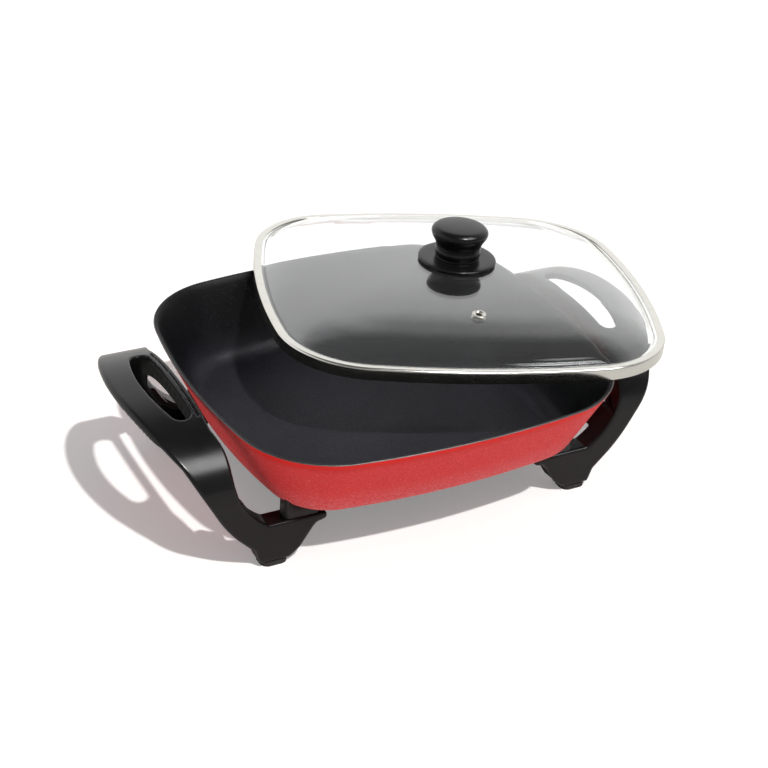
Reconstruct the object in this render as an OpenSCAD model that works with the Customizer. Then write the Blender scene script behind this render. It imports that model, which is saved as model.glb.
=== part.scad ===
// Electric hot pot. A cast aluminium pan stands on two moulded handle and leg units.
// Its heater and probe inlet are under it, and a loose domed glass lid lies askew on it.
// Millimetres, +Z up. The table is z = 0, and the origin is the middle of the whole
// object's footprint box. Pan pieces are drawn about the middle of the rim plane.

/* [Pan] */
// Length of the rim along X
pan_length = 320; // [300:1:350]
// Width of the rim along Y
pan_width = 298; // [284:1:312]
// Bulge radius of the two long sides
long_side_r = 670; // [560:5:900]
// Bulge radius of the two short sides
short_side_r = 485; // [420:5:700]
// Radius of the four corners
corner_r = 74; // [70:1:84]
// Outside depth of the pan
pan_depth = 63; // [58:0.5:68]
// Lean of the wall from upright, in degrees
wall_flare = 26; // [20:0.5:28]
// Thickness of the wall
wall_t = 3; // [2.5:0.1:3.6]
// Thickness of the floor
floor_t = 4; // [3:0.1:5]
// Outside radius where the wall turns into the floor
base_r = 20; // [16:0.5:22]
// Inside radius where the wall turns into the floor
inner_r = 17; // [13:0.5:19]
// Height of the rim above the table
rim_height = 106.5; // [102:0.5:114]
// Drop of the handle lugs under the pan's base
lug_drop = 7; // [5:0.5:9]
// Length of a handle lug
lug_length = 28; // [24:1:30]
// Width of a handle lug
lug_width = 14; // [12:0.5:16]
// Distance of the lug screws from the ends of the rim
lug_setback = 52; // [50:1:55]

/* [Handles and legs] */
// Width of each handle across its two legs
handle_width = 194; // [184:1:204]
// Reach of the grip beyond the end of the rim
grip_reach = 57; // [50:1:64]
// Gap between the end of the rim and the grip
grip_gap = 6.5; // [5:0.5:9]
// Radius of the grip's outer edge in plan
grip_arc_r = 185; // [160:1:210]
// Height of the grip's crown above the rim
grip_rise = 6.2; // [3:0.1:7]
// Drop from the rim to where the shoulders turn upright
shoulder_drop = 45; // [40:1:48]
// Squareness of the shoulders, 2 being an ellipse
shoulder_power = 2.3; // [2:0.1:2.8]
// Thickness of the moulded shell
shell_t = 5.5; // [4.5:0.1:6.5]
// Depth of the web under the grip, and width of the arm and foot
web_depth = 17; // [15:0.5:19]
// Depth of the web behind the leg, above the arm
leg_web_depth = 27; // [22:0.5:32]
// Gap between the end of the rim and the legs' inner edge
leg_gap = 2; // [1:0.5:4]
// Half width of the stretch where the grip keeps its gap
grip_straight = 60; // [56:1:64]
// Distance over which the inner edge steps in to the legs
grip_step = 18; // [14:1:22]
// Width of the bar between the rim and the finger slot
bar_width = 7; // [6:0.5:9]
// Width of the strip outside the finger slot
strip_width = 22; // [19:0.5:25]
// Radius of the finger slot's outer edge
slot_arc_r = 129; // [120:1:140]
// Radius of the finger slot's ends
slot_end_r = 7.5; // [6.5:0.5:8.5]
// Width of the groove along the bar
groove_width = 1.5; // [1:0.1:2.5]
// Depth of the groove along the bar
groove_depth = 2; // [1:0.1:3]
// Reach of the legs' shoulder corner beyond the end of the rim
leg_reach = 36; // [34:0.5:38]
// Drop of that corner below the rim
shin_drop = 17; // [14:0.5:19]
// Lean of the shin from upright, in degrees
shin_lean = 29; // [27:0.5:31]
// Length of the shin from that corner to the knee
shin_length = 45; // [42:1:48]
// Radius of the knee's outer curve
knee_r = 120; // [100:5:150]
// Turn of the knee, in degrees
knee_turn = 13; // [10:0.5:15]
// Radius of the leg's inner edge
vee_r = 56; // [52:1:60]
// Turn of the leg's inner edge down to the arm, in degrees
vee_turn = 58; // [55:1:60]
// Distance of the foot's outer edge inside the end of the rim
foot_tuck = 18; // [16:1:20]
// Length of the foot along X
foot_length = 25.5; // [23:0.5:27]
// Height of the solid block in the foot
foot_block = 14; // [11:0.5:16]

/* [Foot pads and handle screws] */
// Thickness of a foot pad
pad_t = 3.5; // [2.5:0.1:5]
// Length of a foot pad
pad_length = 21; // [18:0.5:23]
// Corner radius of a foot pad
pad_corner_r = 6; // [3:0.5:7]
// Diameter of the stem that holds a foot pad
pad_stem_d = 6; // [5:0.1:7]
// Length of the stem
pad_stem_length = 8; // [6:0.5:10]
// Nominal diameter of the handle screws
screw_d = 4; // [3.5:0.1:4.5]
// Length of the handle screws under the head
screw_length = 14; // [12:0.5:15]
// Diameter of the handle screws' heads
screw_head_d = 8; // [7:0.1:8.4]
// Height of the handle screws' heads
screw_head_h = 2.6; // [2:0.1:3.2]
// Thickness of the handle screws' washers
washer_t = 0.8; // [0.6:0.1:1.2]
// Thickness of the arm between the lug and the washer
arm_grip = 7; // [6:0.1:8]

/* [Heater and inlet] */
// Diameter of the heater tube
heater_d = 7; // [6:0.1:8]
// Drop of the heater's centreline under the pan's base
heater_drop = 6; // [5:0.5:6.5]
// Half the width of the heater's loop
loop_half = 55; // [50:1:62]
// Bend radius of the heater's turns toward the inlet
turn_r = 15; // [13:1:17]
// Distance of the loop's round end from the middle of the pan
loop_back = 45; // [38:1:50]
// Distance from the middle of the pan to the loop's first turn
loop_front = 75; // [70:1:78]
// Width of the rib that holds the heater
rib_width = 13; // [11:0.5:14]
// Spacing of the two terminal pins
pin_spacing = 38; // [36:1:40]
// Diameter of the terminal pins
pin_d = 6; // [5:0.1:6.4]
// Length of the terminal pins
pin_length = 30; // [26:1:32]
// Diameter of the ceramic bushes
bush_d = 10.5; // [9.5:0.1:11]
// Length of the ceramic bushes
bush_length = 12; // [10:0.5:13]
// Inner diameter of the probe tube
probe_d = 6.6; // [6:0.1:7]
// Wall of the probe tube
probe_wall = 1.2; // [0.8:0.1:1.4]
// Length of the probe tube
probe_length = 62; // [50:1:68]
// Distance of the inlet guard's mouth inside the end of the rim
guard_setback = 8; // [5:1:10]
// Depth of the inlet guard along X
guard_depth = 24; // [20:1:25]
// Reach of the inlet guard beyond each pin's axis
guard_side = 22; // [21:0.5:26]
// Height of the inlet guard above the pins' centreline
guard_above = 8.5; // [7.5:0.1:8.8]
// Height of the inlet guard below the pins' centreline
guard_below = 12; // [10:0.5:14]
// Wall of the inlet guard
guard_wall = 2.5; // [2:0.1:3]
// Corner radius of the inlet guard
guard_corner_r = 6; // [4:0.5:7]
// Distance of each guard screw outward from the pin beside it
guard_screw_outset = 12; // [11.5:0.5:13]
// Nominal diameter of the guard's screws
guard_screw_d = 3; // [2.5:0.1:3.4]
// Length of the guard's screws under the head
guard_screw_length = 12; // [9:0.5:13]
// Diameter of the bosses that take the guard's screws
boss_d = 10; // [8:0.5:10.5]

/* [Lid] */
// Overhang of the lid's band beyond the pan's outline
lid_over = 0.5; // [0:0.1:2]
// Height of the band
band_h = 10; // [8.5:0.1:12]
// Thickness of the band's sheet
band_t = 0.8; // [0.6:0.05:1]
// Radius of the bend between the band and its top flange
bend_r = 1.7; // [1.2:0.1:1.8]
// Width of the band's top flange
flange_width = 6.4; // [5:0.1:8]
// Width of the band's inner lip under the glass
lip_width = 5; // [4:0.1:6]
// Thickness of the glass
glass_t = 4; // [3:0.1:5]
// Width of the chamfer round the glass's upper edge
glass_chamfer = 1; // [0.9:0.05:1.3]
// Width of the flat border of the glass
glass_border = 11; // [9:0.5:14]
// Rise of the glass dome above its border
dome_rise = 24; // [16:0.5:32]
// Squareness of the dome's outline in section
dome_power = 2.4; // [2:0.1:3]
// Steepness of the dome at its border
dome_edge_power = 1.6; // [1.2:0.1:2]
// Distance of the steam vent from the middle of the lid
vent_offset = 89; // [84:1:94]
// Outer diameter of the vent eyelet
vent_d = 11; // [9:0.1:12]
// Hole through the vent eyelet
vent_hole_d = 4.5; // [3.5:0.1:5]
// Thickness of the eyelet's sheet
vent_sheet_t = 0.6; // [0.4:0.05:0.8]

/* [Knob] */
// Diameter of the disc under the knob
disc_d = 63; // [56:0.5:70]
// Thickness of the disc over its recess
disc_t = 2.2; // [2:0.1:3]
// Depth of the recess under the disc
disc_recess = 0.7; // [0.4:0.05:0.8]
// Height of the knob above the disc
knob_h = 26.7; // [24:0.1:30]
// Diameter of the knob's head
knob_d = 45.8; // [42:0.1:50]
// Diameter of the knob's neck
neck_d = 37.4; // [34:0.1:40]
// Height of the head's edge under the knob's top
head_h = 13; // [11:0.5:15]
// Thickness of the knob's two gaskets
gasket_t = 1; // [0.8:0.1:1.5]
// Diameter of the knob's two gaskets
gasket_d = 20; // [17:0.5:22]
// Diameter of the knob screw
knob_screw_d = 5; // [4:0.1:5.4]
// Diameter of the knob screw's head
knob_screw_head_d = 9; // [8:0.1:10]
// Height of the knob screw's head
knob_screw_head_h = 3; // [2.4:0.1:3.6]
// Diameter of the brass insert in the knob
insert_d = 9; // [8:0.1:10]
// Length of the brass insert
insert_length = 12; // [9:0.5:14]

/* [Where the lid lies] */
// Distance of the lid's middle to the right of the pan's middle
lid_right = 92.5; // [90:0.5:94]
// Distance of the lid's middle behind the pan's middle
lid_back = 52; // [50:0.5:54]
// Turn of the lid seen from above, in degrees
lid_turn = -18.4; // [-20:0.1:-17]
// Tip of the lid about X, in degrees
lid_tip_x = -1.85; // [-2:0.01:-1.7]
// Tip of the lid about Y, in degrees
lid_tip_y = 2.55; // [2.4:0.01:2.7]

/* [Clearances] */
// Gap between the lid and what it rests on
lid_gap = 0.35; // [0.3:0.01:0.6]
// Gap around pieces that seat in or on each other
seat_gap = 0.1; // [0.05:0.01:0.15]
// Gap around screws in plain holes
screw_gap = 0.25; // [0.1:0.05:0.4]

/* [Hidden] */
$fn = 96;

// The rim's outline: four bulging sides and four corners, each one arc.
half_l = pan_length / 2;
half_w = pan_width / 2;
long_centre = [0, half_w - long_side_r];
short_centre = [half_l - short_side_r, 0];
corner_centre = circles_meet(long_centre, long_side_r - corner_r, short_centre, short_side_r - corner_r);
long_start = atan2(corner_centre.y - long_centre.y, corner_centre.x);
short_end = atan2(corner_centre.y, corner_centre.x - short_centre.x);
// Each arc is its centre, its radius, the angle at its start and its sweep.
outline_arcs = [for (quarter = [0:3]) each quarter_arcs(quarter)];

// The pan's section, with the rim plane at zero.
base_inset = (base_r + (pan_depth - base_r) * sin(wall_flare)) / cos(wall_flare);
inner_centre_drop = pan_depth - floor_t - inner_r;
inner_inset = (wall_t + inner_r + inner_centre_drop * sin(wall_flare)) / cos(wall_flare);
fillet_steps = 10;
corner_steps = 12;
side_steps = 8;

// The handles' sections.
handle_half = handle_width / 2;
leg_y = handle_half - web_depth / 2;
grip_in = half_l + grip_gap;
leg_in = half_l + leg_gap;
slot_in = grip_in + bar_width;
slot_out = half_l + grip_reach - strip_width;
slot_centre_x = slot_out - slot_arc_r;
slot_end_x = slot_in + slot_end_r;
slot_end_y = sqrt(pow(slot_arc_r - slot_end_r, 2) - pow(slot_end_x - slot_centre_x, 2));
slot_end_angle = atan2(slot_end_y, slot_end_x - slot_centre_x);
arm_top = -(pan_depth + lug_drop);
foot_z = pad_t - rim_height;
foot_out = half_l - foot_tuck;
foot_in = foot_out - foot_length;
foot_x = (foot_out + foot_in) / 2;
vee_z = arm_top + vee_r * sin(vee_turn);
lug_x = half_l - lug_setback;
lug_corner_r = 4;
// The leg's outer profile: the shoulder's corner, the knee below it and the ankle.
leg_top = 20;
corner_x = half_l + leg_reach;
corner_over = 9;
knee_x = corner_x - shin_length * sin(shin_lean);
knee_z = -shin_drop - shin_length * cos(shin_lean);
knee_centre = [knee_x - knee_r * cos(shin_lean), knee_z + knee_r * sin(shin_lean)];
ankle_out = 3;
ankle_h = 11;
// Its inner profile: the foot's bevels, the heel and the arm's thin end.
foot_bevel = 1;
heel = 7;
arm_end = lug_x - lug_length / 2 - 5;
arm_end_t = 6.2;
arm_bevel = 1.5;
arm_tip = 8;
arm_root = 10.8;
web_foot_z = arm_top + 8;
head_room = 2.4;
washer_slack = 0.8;
// Space left in a blind hole beyond a screw's tip.
tip_room = 1.4;
washer_z = arm_top - arm_grip;
pad_width = web_depth;
arch_steps = 56;
// How far a cut runs past a face or a joined form runs into one, and a length beyond all.
sink = 1;
far = 300;
// The pads stop this far short of the feet's soles.
hair = 0.01;
// Cross recesses: how much of a screw's head they cross, and how wide they are.
recess_share = 0.55;
recess_w = 1;

// The heater and its inlet, under the pan's base.
inlet_z = -pan_depth - heater_drop;
pin_y = pin_spacing / 2;
turn_run = loop_half - pin_y - 2 * turn_r;
tail_x = loop_front + 2 * turn_r;
guard_mouth_x = half_l - guard_setback;
guard_back_x = guard_mouth_x - guard_depth;
pin_setback = 4;
pin_x = guard_mouth_x - pin_setback - pin_length;
guard_width = pin_spacing + 2 * guard_side;
boss_y = pin_y + guard_screw_outset;
guard_head_h = 0.7 * guard_screw_d;
boss_length = 16;
boss_rise = 5;
// The block round the probe tube: how far inside the tube's two ends it stops.
block_in = 3;
block_out = 13;
probe_end_t = 2;
pin_nose = 2;
pin_nose_r = pin_d / 2 - 1.5;
heater_way_out = 20;
probe_x = guard_back_x + guard_wall + 1;

// The lid, drawn about the middle of its band's lower edge.
glass_z = band_h - band_t - seat_gap - glass_t;
lip_z = glass_z - seat_gap - band_t;
glass_inset = band_t + seat_gap;
knob_hole_over = 3;
insert_end_t = 2;
vent_lip = 2.2;
dome_rings = [1, 0.96, 0.88, 0.74, 0.55, 0.35, 0.15];
crown_z = glass_z + glass_t + dome_height(dome_rings[len(dome_rings) - 1]);
disc_under_z = crown_z + gasket_t + seat_gap;
disc_top_z = disc_under_z + disc_t;
gasket_low_z = crown_z - glass_t - 2 * seat_gap - gasket_t;
// The vent sits in the middle of the dome's fourth ring of facets, on that ring's own slope.
vent_ring = 3;
front_reach = half_w + lid_over - glass_border;
vent_share = vent_offset / front_reach;
ring_drop = dome_height(dome_rings[vent_ring + 1]) - dome_height(dome_rings[vent_ring]);
ring_width = (dome_rings[vent_ring] - dome_rings[vent_ring + 1]) * front_reach;
vent_tilt = atan2(ring_drop, ring_width);
vent_z = glass_z + glass_t + dome_height(dome_rings[vent_ring])
    + (dome_rings[vent_ring] * front_reach - vent_offset) * ring_drop / ring_width;

// The lid is set down on the rim and on the right grip: its height is the least that
// keeps lid_gap over the rim under the band, and over the grip under the lip and glass.
lid_x_axis = lid_direction([1, 0, 0]);
lid_y_axis = lid_direction([0, 1, 0]);
lid_z_axis = lid_direction([0, 0, 1]);
seat_samples = 720;
rim_needs = [
    for (i = [0:seat_samples - 1], inset = [0, wall_t / cos(wall_flare)])
        let (p = outline_point(360 * i / seat_samples, inset), d = lid_inset(p))
        if (d > -0.2 && d < band_t + 0.2) -lid_plane(p)
];
grip_needs = [
    for (ring = [[0, 0], [lip_width, lip_z], [glass_border, glass_z]], i = [0:seat_samples - 1])
        let (
            q = outline_point(360 * i / seat_samples, ring[0] - lid_over),
            p = lid_xyz([q.x, q.y, ring[1]])
        )
        if (over_grip(p)) arch_z(p.y) - p.z,
    for (share = [0.99, 0.97, 0.94, 0.9, 0.85], i = [0:seat_samples - 1])
        let (
            q = share * outline_point(360 * i / seat_samples, glass_border - lid_over),
            p = lid_xyz([q.x, q.y, glass_z + dome_height(share)])
        )
        if (over_grip(p)) arch_z(p.y) - p.z
];
lid_z = lid_gap + max(concat(rim_needs, grip_needs));

// The pan's place, so that the origin is the middle of the footprint box.
lid_reach_x = lid_reach([lid_x_axis.x, lid_y_axis.x], lid_z_axis.x);
lid_reach_y = lid_reach([lid_x_axis.y, lid_y_axis.y], lid_z_axis.y);
pan_x = ((half_l + grip_reach) - (lid_right + lid_reach_x)) / 2;
pan_y = (half_w - (lid_back + lid_reach_y)) / 2;

red = [0.62, 0.09, 0.08];
black = [0.09, 0.09, 0.1];
steel = [0.75, 0.76, 0.78];
brass = [0.78, 0.62, 0.32];
ceramic = [0.9, 0.88, 0.82];
silicone = [0.35, 0.35, 0.36];
clear = [0.75, 0.85, 0.88, 0.35];

// The right-hand meeting point of two circles.
function circles_meet(p, r, q, s) =
    let (
        d = norm(q - p),
        e = (q - p) / d,
        along = (r * r - s * s + d * d) / (2 * d),
        side = sqrt(r * r - along * along),
        a = p + along * e + side * [-e.y, e.x],
        b = p + along * e - side * [-e.y, e.x]
    )
    a.x + a.y > b.x + b.y ? a : b;

// One quarter of the outline: the arc of a side, then the corner after it.
function quarter_arcs(quarter) =
    let (
        on_long = quarter % 2 == 1,
        flip_x = quarter == 1 || quarter == 2 ? -1 : 1,
        flip_y = quarter < 2 ? 1 : -1,
        turn = 90 * quarter,
        side_centre = on_long ? [0, flip_y * long_centre.y] : [flip_x * short_centre.x, 0],
        side_r = on_long ? long_side_r : short_side_r,
        side_half = on_long ? 90 - long_start : short_end,
        next_half = on_long ? short_end : 90 - long_start,
        corner_start = turn + side_half
    )
    [
        [side_centre, side_r, turn - side_half, 2 * side_half],
        [
            [flip_x * corner_centre.x, flip_y * corner_centre.y],
            corner_r, corner_start, 90 - side_half - next_half
        ]
    ];

// The outline's point whose outward normal has this angle, moved inward by inset.
function outline_point(angle, inset) =
    let (
        d = [cos(angle), sin(angle)],
        a = atan2(abs(d.y), abs(d.x)),
        centre = a < short_end ? short_centre : a > long_start ? long_centre : corner_centre,
        r = a < short_end ? short_side_r : a > long_start ? long_side_r : corner_r
    )
    [sign(d.x) * centre.x + (r - inset) * d.x, sign(d.y) * centre.y + (r - inset) * d.y];

// How far a point lies inside the outline, in the outline's own frame.
function inset_of(p) =
    let (
        q = [abs(p.x), abs(p.y)],
        a = atan2(q.y - long_centre.y, q.x),
        b = atan2(q.y, q.x - short_centre.x)
    )
    a > long_start ? long_side_r - norm(q - long_centre)
    : b < short_end ? short_side_r - norm(q - short_centre)
    : corner_r - norm(q - corner_centre);

function arc(centre, r, start, end, steps) =
    [for (i = [0:steps]) let (a = start + (end - start) * i / steps) centre + r * [cos(a), sin(a)]];

// Rise of the dome above the border, from 1 at the border's inner edge to 0 at the crown.
function dome_height(share) = dome_rise * pow(1 - pow(share, dome_power), 1 / dome_edge_power);

// Height of the arch over the handle's width, and whether a point lies over the right grip.
function arch_z(y) =
    -shoulder_drop + (shoulder_drop + grip_rise)
    * pow(max(0, 1 - pow(abs(y) / handle_half, shoulder_power)), 1 / shoulder_power);
function over_grip(p) =
    p.x > leg_in && abs(p.y) < handle_half
    && norm([p.x - half_l - grip_reach + grip_arc_r, p.y]) < grip_arc_r;

// A direction or place in the lid's frame, seen from the pan. Places leave out lid_z.
function lid_direction(v) =
    let (
        a = [v.x * cos(lid_turn) - v.y * sin(lid_turn), v.x * sin(lid_turn) + v.y * cos(lid_turn), v.z],
        b = [a.x * cos(lid_tip_y) + a.z * sin(lid_tip_y), a.y, a.z * cos(lid_tip_y) - a.x * sin(lid_tip_y)]
    )
    [b.x, b.y * cos(lid_tip_x) - b.z * sin(lid_tip_x), b.y * sin(lid_tip_x) + b.z * cos(lid_tip_x)];
function lid_xyz(p) = lid_direction(p) + [lid_right, lid_back, 0];

// Height of the lid's lower plane over a point, and how far inside its band the point is.
function lid_plane(p) =
    -(lid_z_axis.x * (p.x - lid_right) + lid_z_axis.y * (p.y - lid_back)) / lid_z_axis.z;
function lid_inset(p) =
    let (d = [p.x - lid_right, p.y - lid_back, lid_plane(p)])
    lid_over + inset_of([d * lid_x_axis, d * lid_y_axis]);

// Furthest reach of the band from the lid's middle along one axis of the pan.
function lid_reach(d, rise) =
    let (
        a = atan2(abs(d.y), abs(d.x)),
        centre = a < short_end ? short_centre : a > long_start ? long_centre : corner_centre,
        r = a < short_end ? short_side_r : a > long_start ? long_side_r : corner_r
    )
    centre.x * abs(d.x) + centre.y * abs(d.y) + (r + lid_over) * norm(d)
    + max(0, rise) * (band_h - 2 * band_t);

// One ring of points along the outline at an inset and height, shrunk toward the middle by share.
function outline_ring(inset, z, share = 1) = [
    for (a = outline_arcs)
        let (steps = a[1] == corner_r ? corner_steps : side_steps)
        for (i = [0:steps - 1])
            let (t = a[2] + a[3] * i / steps, p = share * (a[0] + (a[1] - inset) * [cos(t), sin(t)]))
            [p.x, p.y, z]
];

// A solid skinned over rings of points. Open ends are capped; a closed one joins last to first.
module skin(rings, closed = false) {
    count = len(rings[0]);
    last = len(rings) - 1;
    sides = [
        for (k = [0:closed ? last : last - 1], i = [0:count - 1])
            let (
                a = k * count + i,
                b = k * count + (i + 1) % count,
                c = (k + 1) % len(rings) * count + (i + 1) % count,
                d = (k + 1) % len(rings) * count + i
            )
            each [[b, a, d], [c, b, d]]
    ];
    caps = closed ? [] : [[for (i = [0:count - 1]) i], [for (i = [count - 1:-1:0]) last * count + i]];
    polyhedron(points = [for (ring = rings) each ring], faces = concat(sides, caps));
}

module in_place() translate([pan_x, pan_y, rim_height]) children();

module on_lid()
    in_place()
        translate([lid_right, lid_back, lid_z])
            rotate([lid_tip_x, 0, 0]) rotate([0, lid_tip_y, 0]) rotate([0, 0, lid_turn]) children();

module each_corner()
    for (x = [-1, 1], y = [-1, 1]) translate([x * lug_x, y * leg_y, 0]) children();

module rounded_rect(length, width, r) {
    square([length - 2 * r, width], center = true);
    square([length, width - 2 * r], center = true);
    for (x = [-1, 1], y = [-1, 1])
        translate([x * (length / 2 - r), y * (width / 2 - r)]) circle(r);
}

// Carries a section along the heater's centreline, both halves of the loop.
module along_heater(end_x) {
    translate([-loop_back, 0, 0]) rotate([0, 0, 90])
        rotate_extrude(angle = 180) translate([loop_half, 0]) children();
    for (side = [0, 1]) mirror([0, side, 0]) {
        heater_run([-loop_back, loop_half], 0, loop_back + loop_front) children();
        translate([loop_front, loop_half - turn_r, 0])
            rotate_extrude(angle = 90) translate([turn_r, 0]) children();
        heater_run([loop_front + turn_r, loop_half - turn_r], -90, turn_run) children();
        translate([tail_x, pin_y + turn_r, 0]) rotate([0, 0, 180])
            rotate_extrude(angle = 90) translate([turn_r, 0]) children();
        heater_run([tail_x, pin_y], 0, end_x - tail_x) children();
    }
}

module heater_run(start, heading, length)
    translate([start.x, start.y, 0]) rotate([0, 0, heading]) rotate([90, 0, 90])
        linear_extrude(length) children();

// A round piece lying along X. Its section's x is the radius and its y the place along X.
module along_x(y, z)
    translate([0, y, z]) rotate([0, 90, 0]) rotate_extrude() children();

// The pan's skin from the floor up: a fillet, then the leaning wall to the rim.
module pan_bowl(inset, drop, r, wall_inset, top)
    skin(concat(
        [
            for (p = arc([inset, r - drop], r, 270, 180 + wall_flare, fillet_steps))
                outline_ring(p.x, p.y)
        ],
        [outline_ring(wall_inset - top * tan(wall_flare), top)]
    ));

module pan_body()
    color(red) in_place() difference() {
        union() {
            pan_bowl(base_inset, pan_depth, base_r, 0, 0);
            pan_lugs();
            heater_rib();
            inlet_bosses();
        }
        pan_bowl(inner_inset, pan_depth - floor_t, inner_r, wall_t / cos(wall_flare), 1);
        pan_holes();
    }

module pan_lugs()
    each_corner()
        translate([0, 0, arm_top]) linear_extrude(lug_drop + base_r)
            rounded_rect(lug_length, lug_width, lug_corner_r);

// The rib that holds the heater, and the block that holds the probe tube.
module heater_rib() {
    along_heater(tail_x + rib_width / 2)
        translate([-rib_width / 2, inlet_z]) square([rib_width, heater_drop + sink]);
    translate([probe_x - probe_length + block_in, -probe_d, inlet_z - probe_d])
        cube([probe_length - block_in - block_out, 2 * probe_d, heater_drop + probe_d + sink]);
}

module inlet_bosses()
    for (side = [-1, 1]) {
        translate([guard_back_x - boss_length, side * boss_y, inlet_z])
            rotate([0, 90, 0]) cylinder(d = boss_d, h = boss_length - seat_gap);
        translate([guard_back_x - boss_length, side * boss_y - boss_d / 2, inlet_z])
            cube([boss_length - seat_gap, boss_d, heater_drop + boss_rise]);
    }

module pan_holes() {
    along_heater(tail_x + heater_way_out) translate([0, inlet_z]) circle(d = heater_d + 2 * seat_gap);
    translate([0, 0, inlet_z]) rotate([0, 90, 0])
        cylinder(d = probe_d + 2 * probe_wall + 2 * seat_gap, h = guard_back_x);
    each_corner()
        translate([0, 0, arm_top - sink])
            cylinder(d = screw_d + 2 * seat_gap, h = screw_length - arm_grip - washer_t + tip_room + sink);
    for (side = [-1, 1])
        translate([guard_back_x - guard_screw_length, side * boss_y, inlet_z])
            rotate([0, 90, 0]) cylinder(d = guard_screw_d + 2 * seat_gap, h = guard_screw_length + sink);
}

// The arch seen from the end: half width, height of its crown, and down to the bottom.
module arch_section(half, crown, bottom)
    polygon(concat(
        [[half, bottom]],
        [
            for (i = [0:arch_steps])
                let (
                    a = 180 * i / arch_steps,
                    c = sign(cos(a)) * pow(abs(cos(a)), 2 / shoulder_power),
                    s = pow(sin(a), 2 / shoulder_power)
                )
                [half * c, -shoulder_drop + (crown + shoulder_drop) * s]
        ],
        [[-half, bottom]]
    ));

// Turns a section drawn in Y and Z into a bar along X, and one in X and Z into one along Y.
module bar_x(start, end)
    translate([start, 0, 0]) rotate([90, 0, 90]) linear_extrude(end - start) children();
module bar_y(half) rotate([90, 0, 0]) linear_extrude(2 * half, center = true) children();

// The handle seen from above, outboard of its inner edge moved outward by inset.
module handle_plan(inset)
    polygon([
        [leg_in + inset, -far],
        [far, -far],
        [far, far],
        [leg_in + inset, far],
        [leg_in + inset, grip_straight + grip_step],
        [grip_in + inset, grip_straight],
        [grip_in + inset, -grip_straight],
        [leg_in + inset, -grip_straight - grip_step]
    ]);

// The leg and arm seen from the front.
module leg_front()
    polygon(concat(
        [[far, leg_top], [far, corner_over - shin_drop], [corner_x + corner_over, corner_over - shin_drop]],
        [[corner_x, -shin_drop]],
        arc(knee_centre, knee_r, -shin_lean, -shin_lean - knee_turn, 5),
        [
            [foot_out + ankle_out, foot_z + ankle_h],
            [foot_out, foot_z + 2 * foot_bevel],
            [foot_out - foot_bevel, foot_z],
            [foot_in + 2 * foot_bevel, foot_z],
            [foot_in, foot_z + foot_bevel],
            [foot_in - heel, foot_z + heel],
            [arm_end + arm_root, arm_top - arm_root],
            [arm_end + arm_tip, arm_top - arm_end_t - arm_bevel],
            [arm_end + arm_bevel, arm_top - arm_end_t],
            [arm_end, arm_top - arm_end_t + arm_bevel],
            [arm_end, arm_top - arm_bevel],
            [arm_end + 2 * arm_bevel, arm_top]
        ],
        arc([leg_in - vee_r, vee_z], vee_r, -vee_turn, 0, 10),
        [[leg_in, leg_top]]
    ));

// The hollow behind the shell, open on the outboard side. Under the grip it stops at the
// web along the inner edge, and in the leg at the web along the arm and at the foot's block.
// The grip's hollow starts a little inside the leg's, so that no skin is left between them.
module handle_hollow() {
    hollow_r = vee_r + shell_t;
    arm_turn = asin((vee_z - arm_top + shell_t) / hollow_r);
    intersection() {
        bar_x(half_l - far / 4, far)
            arch_section(handle_half - shell_t, grip_rise - shell_t, -rim_height);
        union() {
            translate([0, 0, vee_z - sink]) linear_extrude(far) handle_plan(shell_t);
            bar_y(handle_half)
                polygon(concat(
                    [[far, vee_z], [far, foot_z + foot_block], [foot_in + 2, foot_z + foot_block]],
                    [[foot_in + 2, arm_top - shell_t]],
                    arc([leg_in - vee_r, vee_z], hollow_r, -arm_turn, 0, 8)
                ));
        }
    }
}

// Trims the grip's inner edge back from the legs' to clear the rim.
module grip_step_cut() {
    slope = (grip_in - leg_in) / grip_step;
    translate([0, 0, -shoulder_drop]) linear_extrude(far)
        polygon([
            [grip_in, -grip_straight],
            [grip_in, grip_straight],
            [grip_in - 2 * slope * grip_step, grip_straight + 2 * grip_step],
            [grip_in - 2 * slope * grip_step, -grip_straight - 2 * grip_step]
        ]);
}

module finger_slot()
    translate([0, 0, -shoulder_drop]) linear_extrude(far) {
        for (side = [-1, 1]) translate([slot_end_x, side * slot_end_y]) circle(slot_end_r);
        intersection() {
            translate([slot_centre_x, 0]) circle(slot_arc_r, $fn = 180);
            polygon([
                [slot_in, -slot_end_y],
                [slot_end_x, -slot_end_y],
                [slot_centre_x + far * cos(slot_end_angle), -far * sin(slot_end_angle)],
                [slot_centre_x + far * cos(slot_end_angle), far * sin(slot_end_angle)],
                [slot_end_x, slot_end_y],
                [slot_in, slot_end_y]
            ]);
        }
    }

// The groove follows the arch along the middle of the bar.
module bar_groove()
    intersection() {
        translate([grip_in + (bar_width - groove_width) / 2, -slot_end_y - slot_end_r, -shoulder_drop])
            cube([groove_width, 2 * (slot_end_y + slot_end_r), far]);
        difference() {
            bar_x(half_l, half_l + grip_reach) square([2 * far, 2 * far], center = true);
            bar_x(half_l - sink, half_l + grip_reach + sink)
                arch_section(handle_half - groove_depth, grip_rise - groove_depth, -far - sink);
        }
    }

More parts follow.
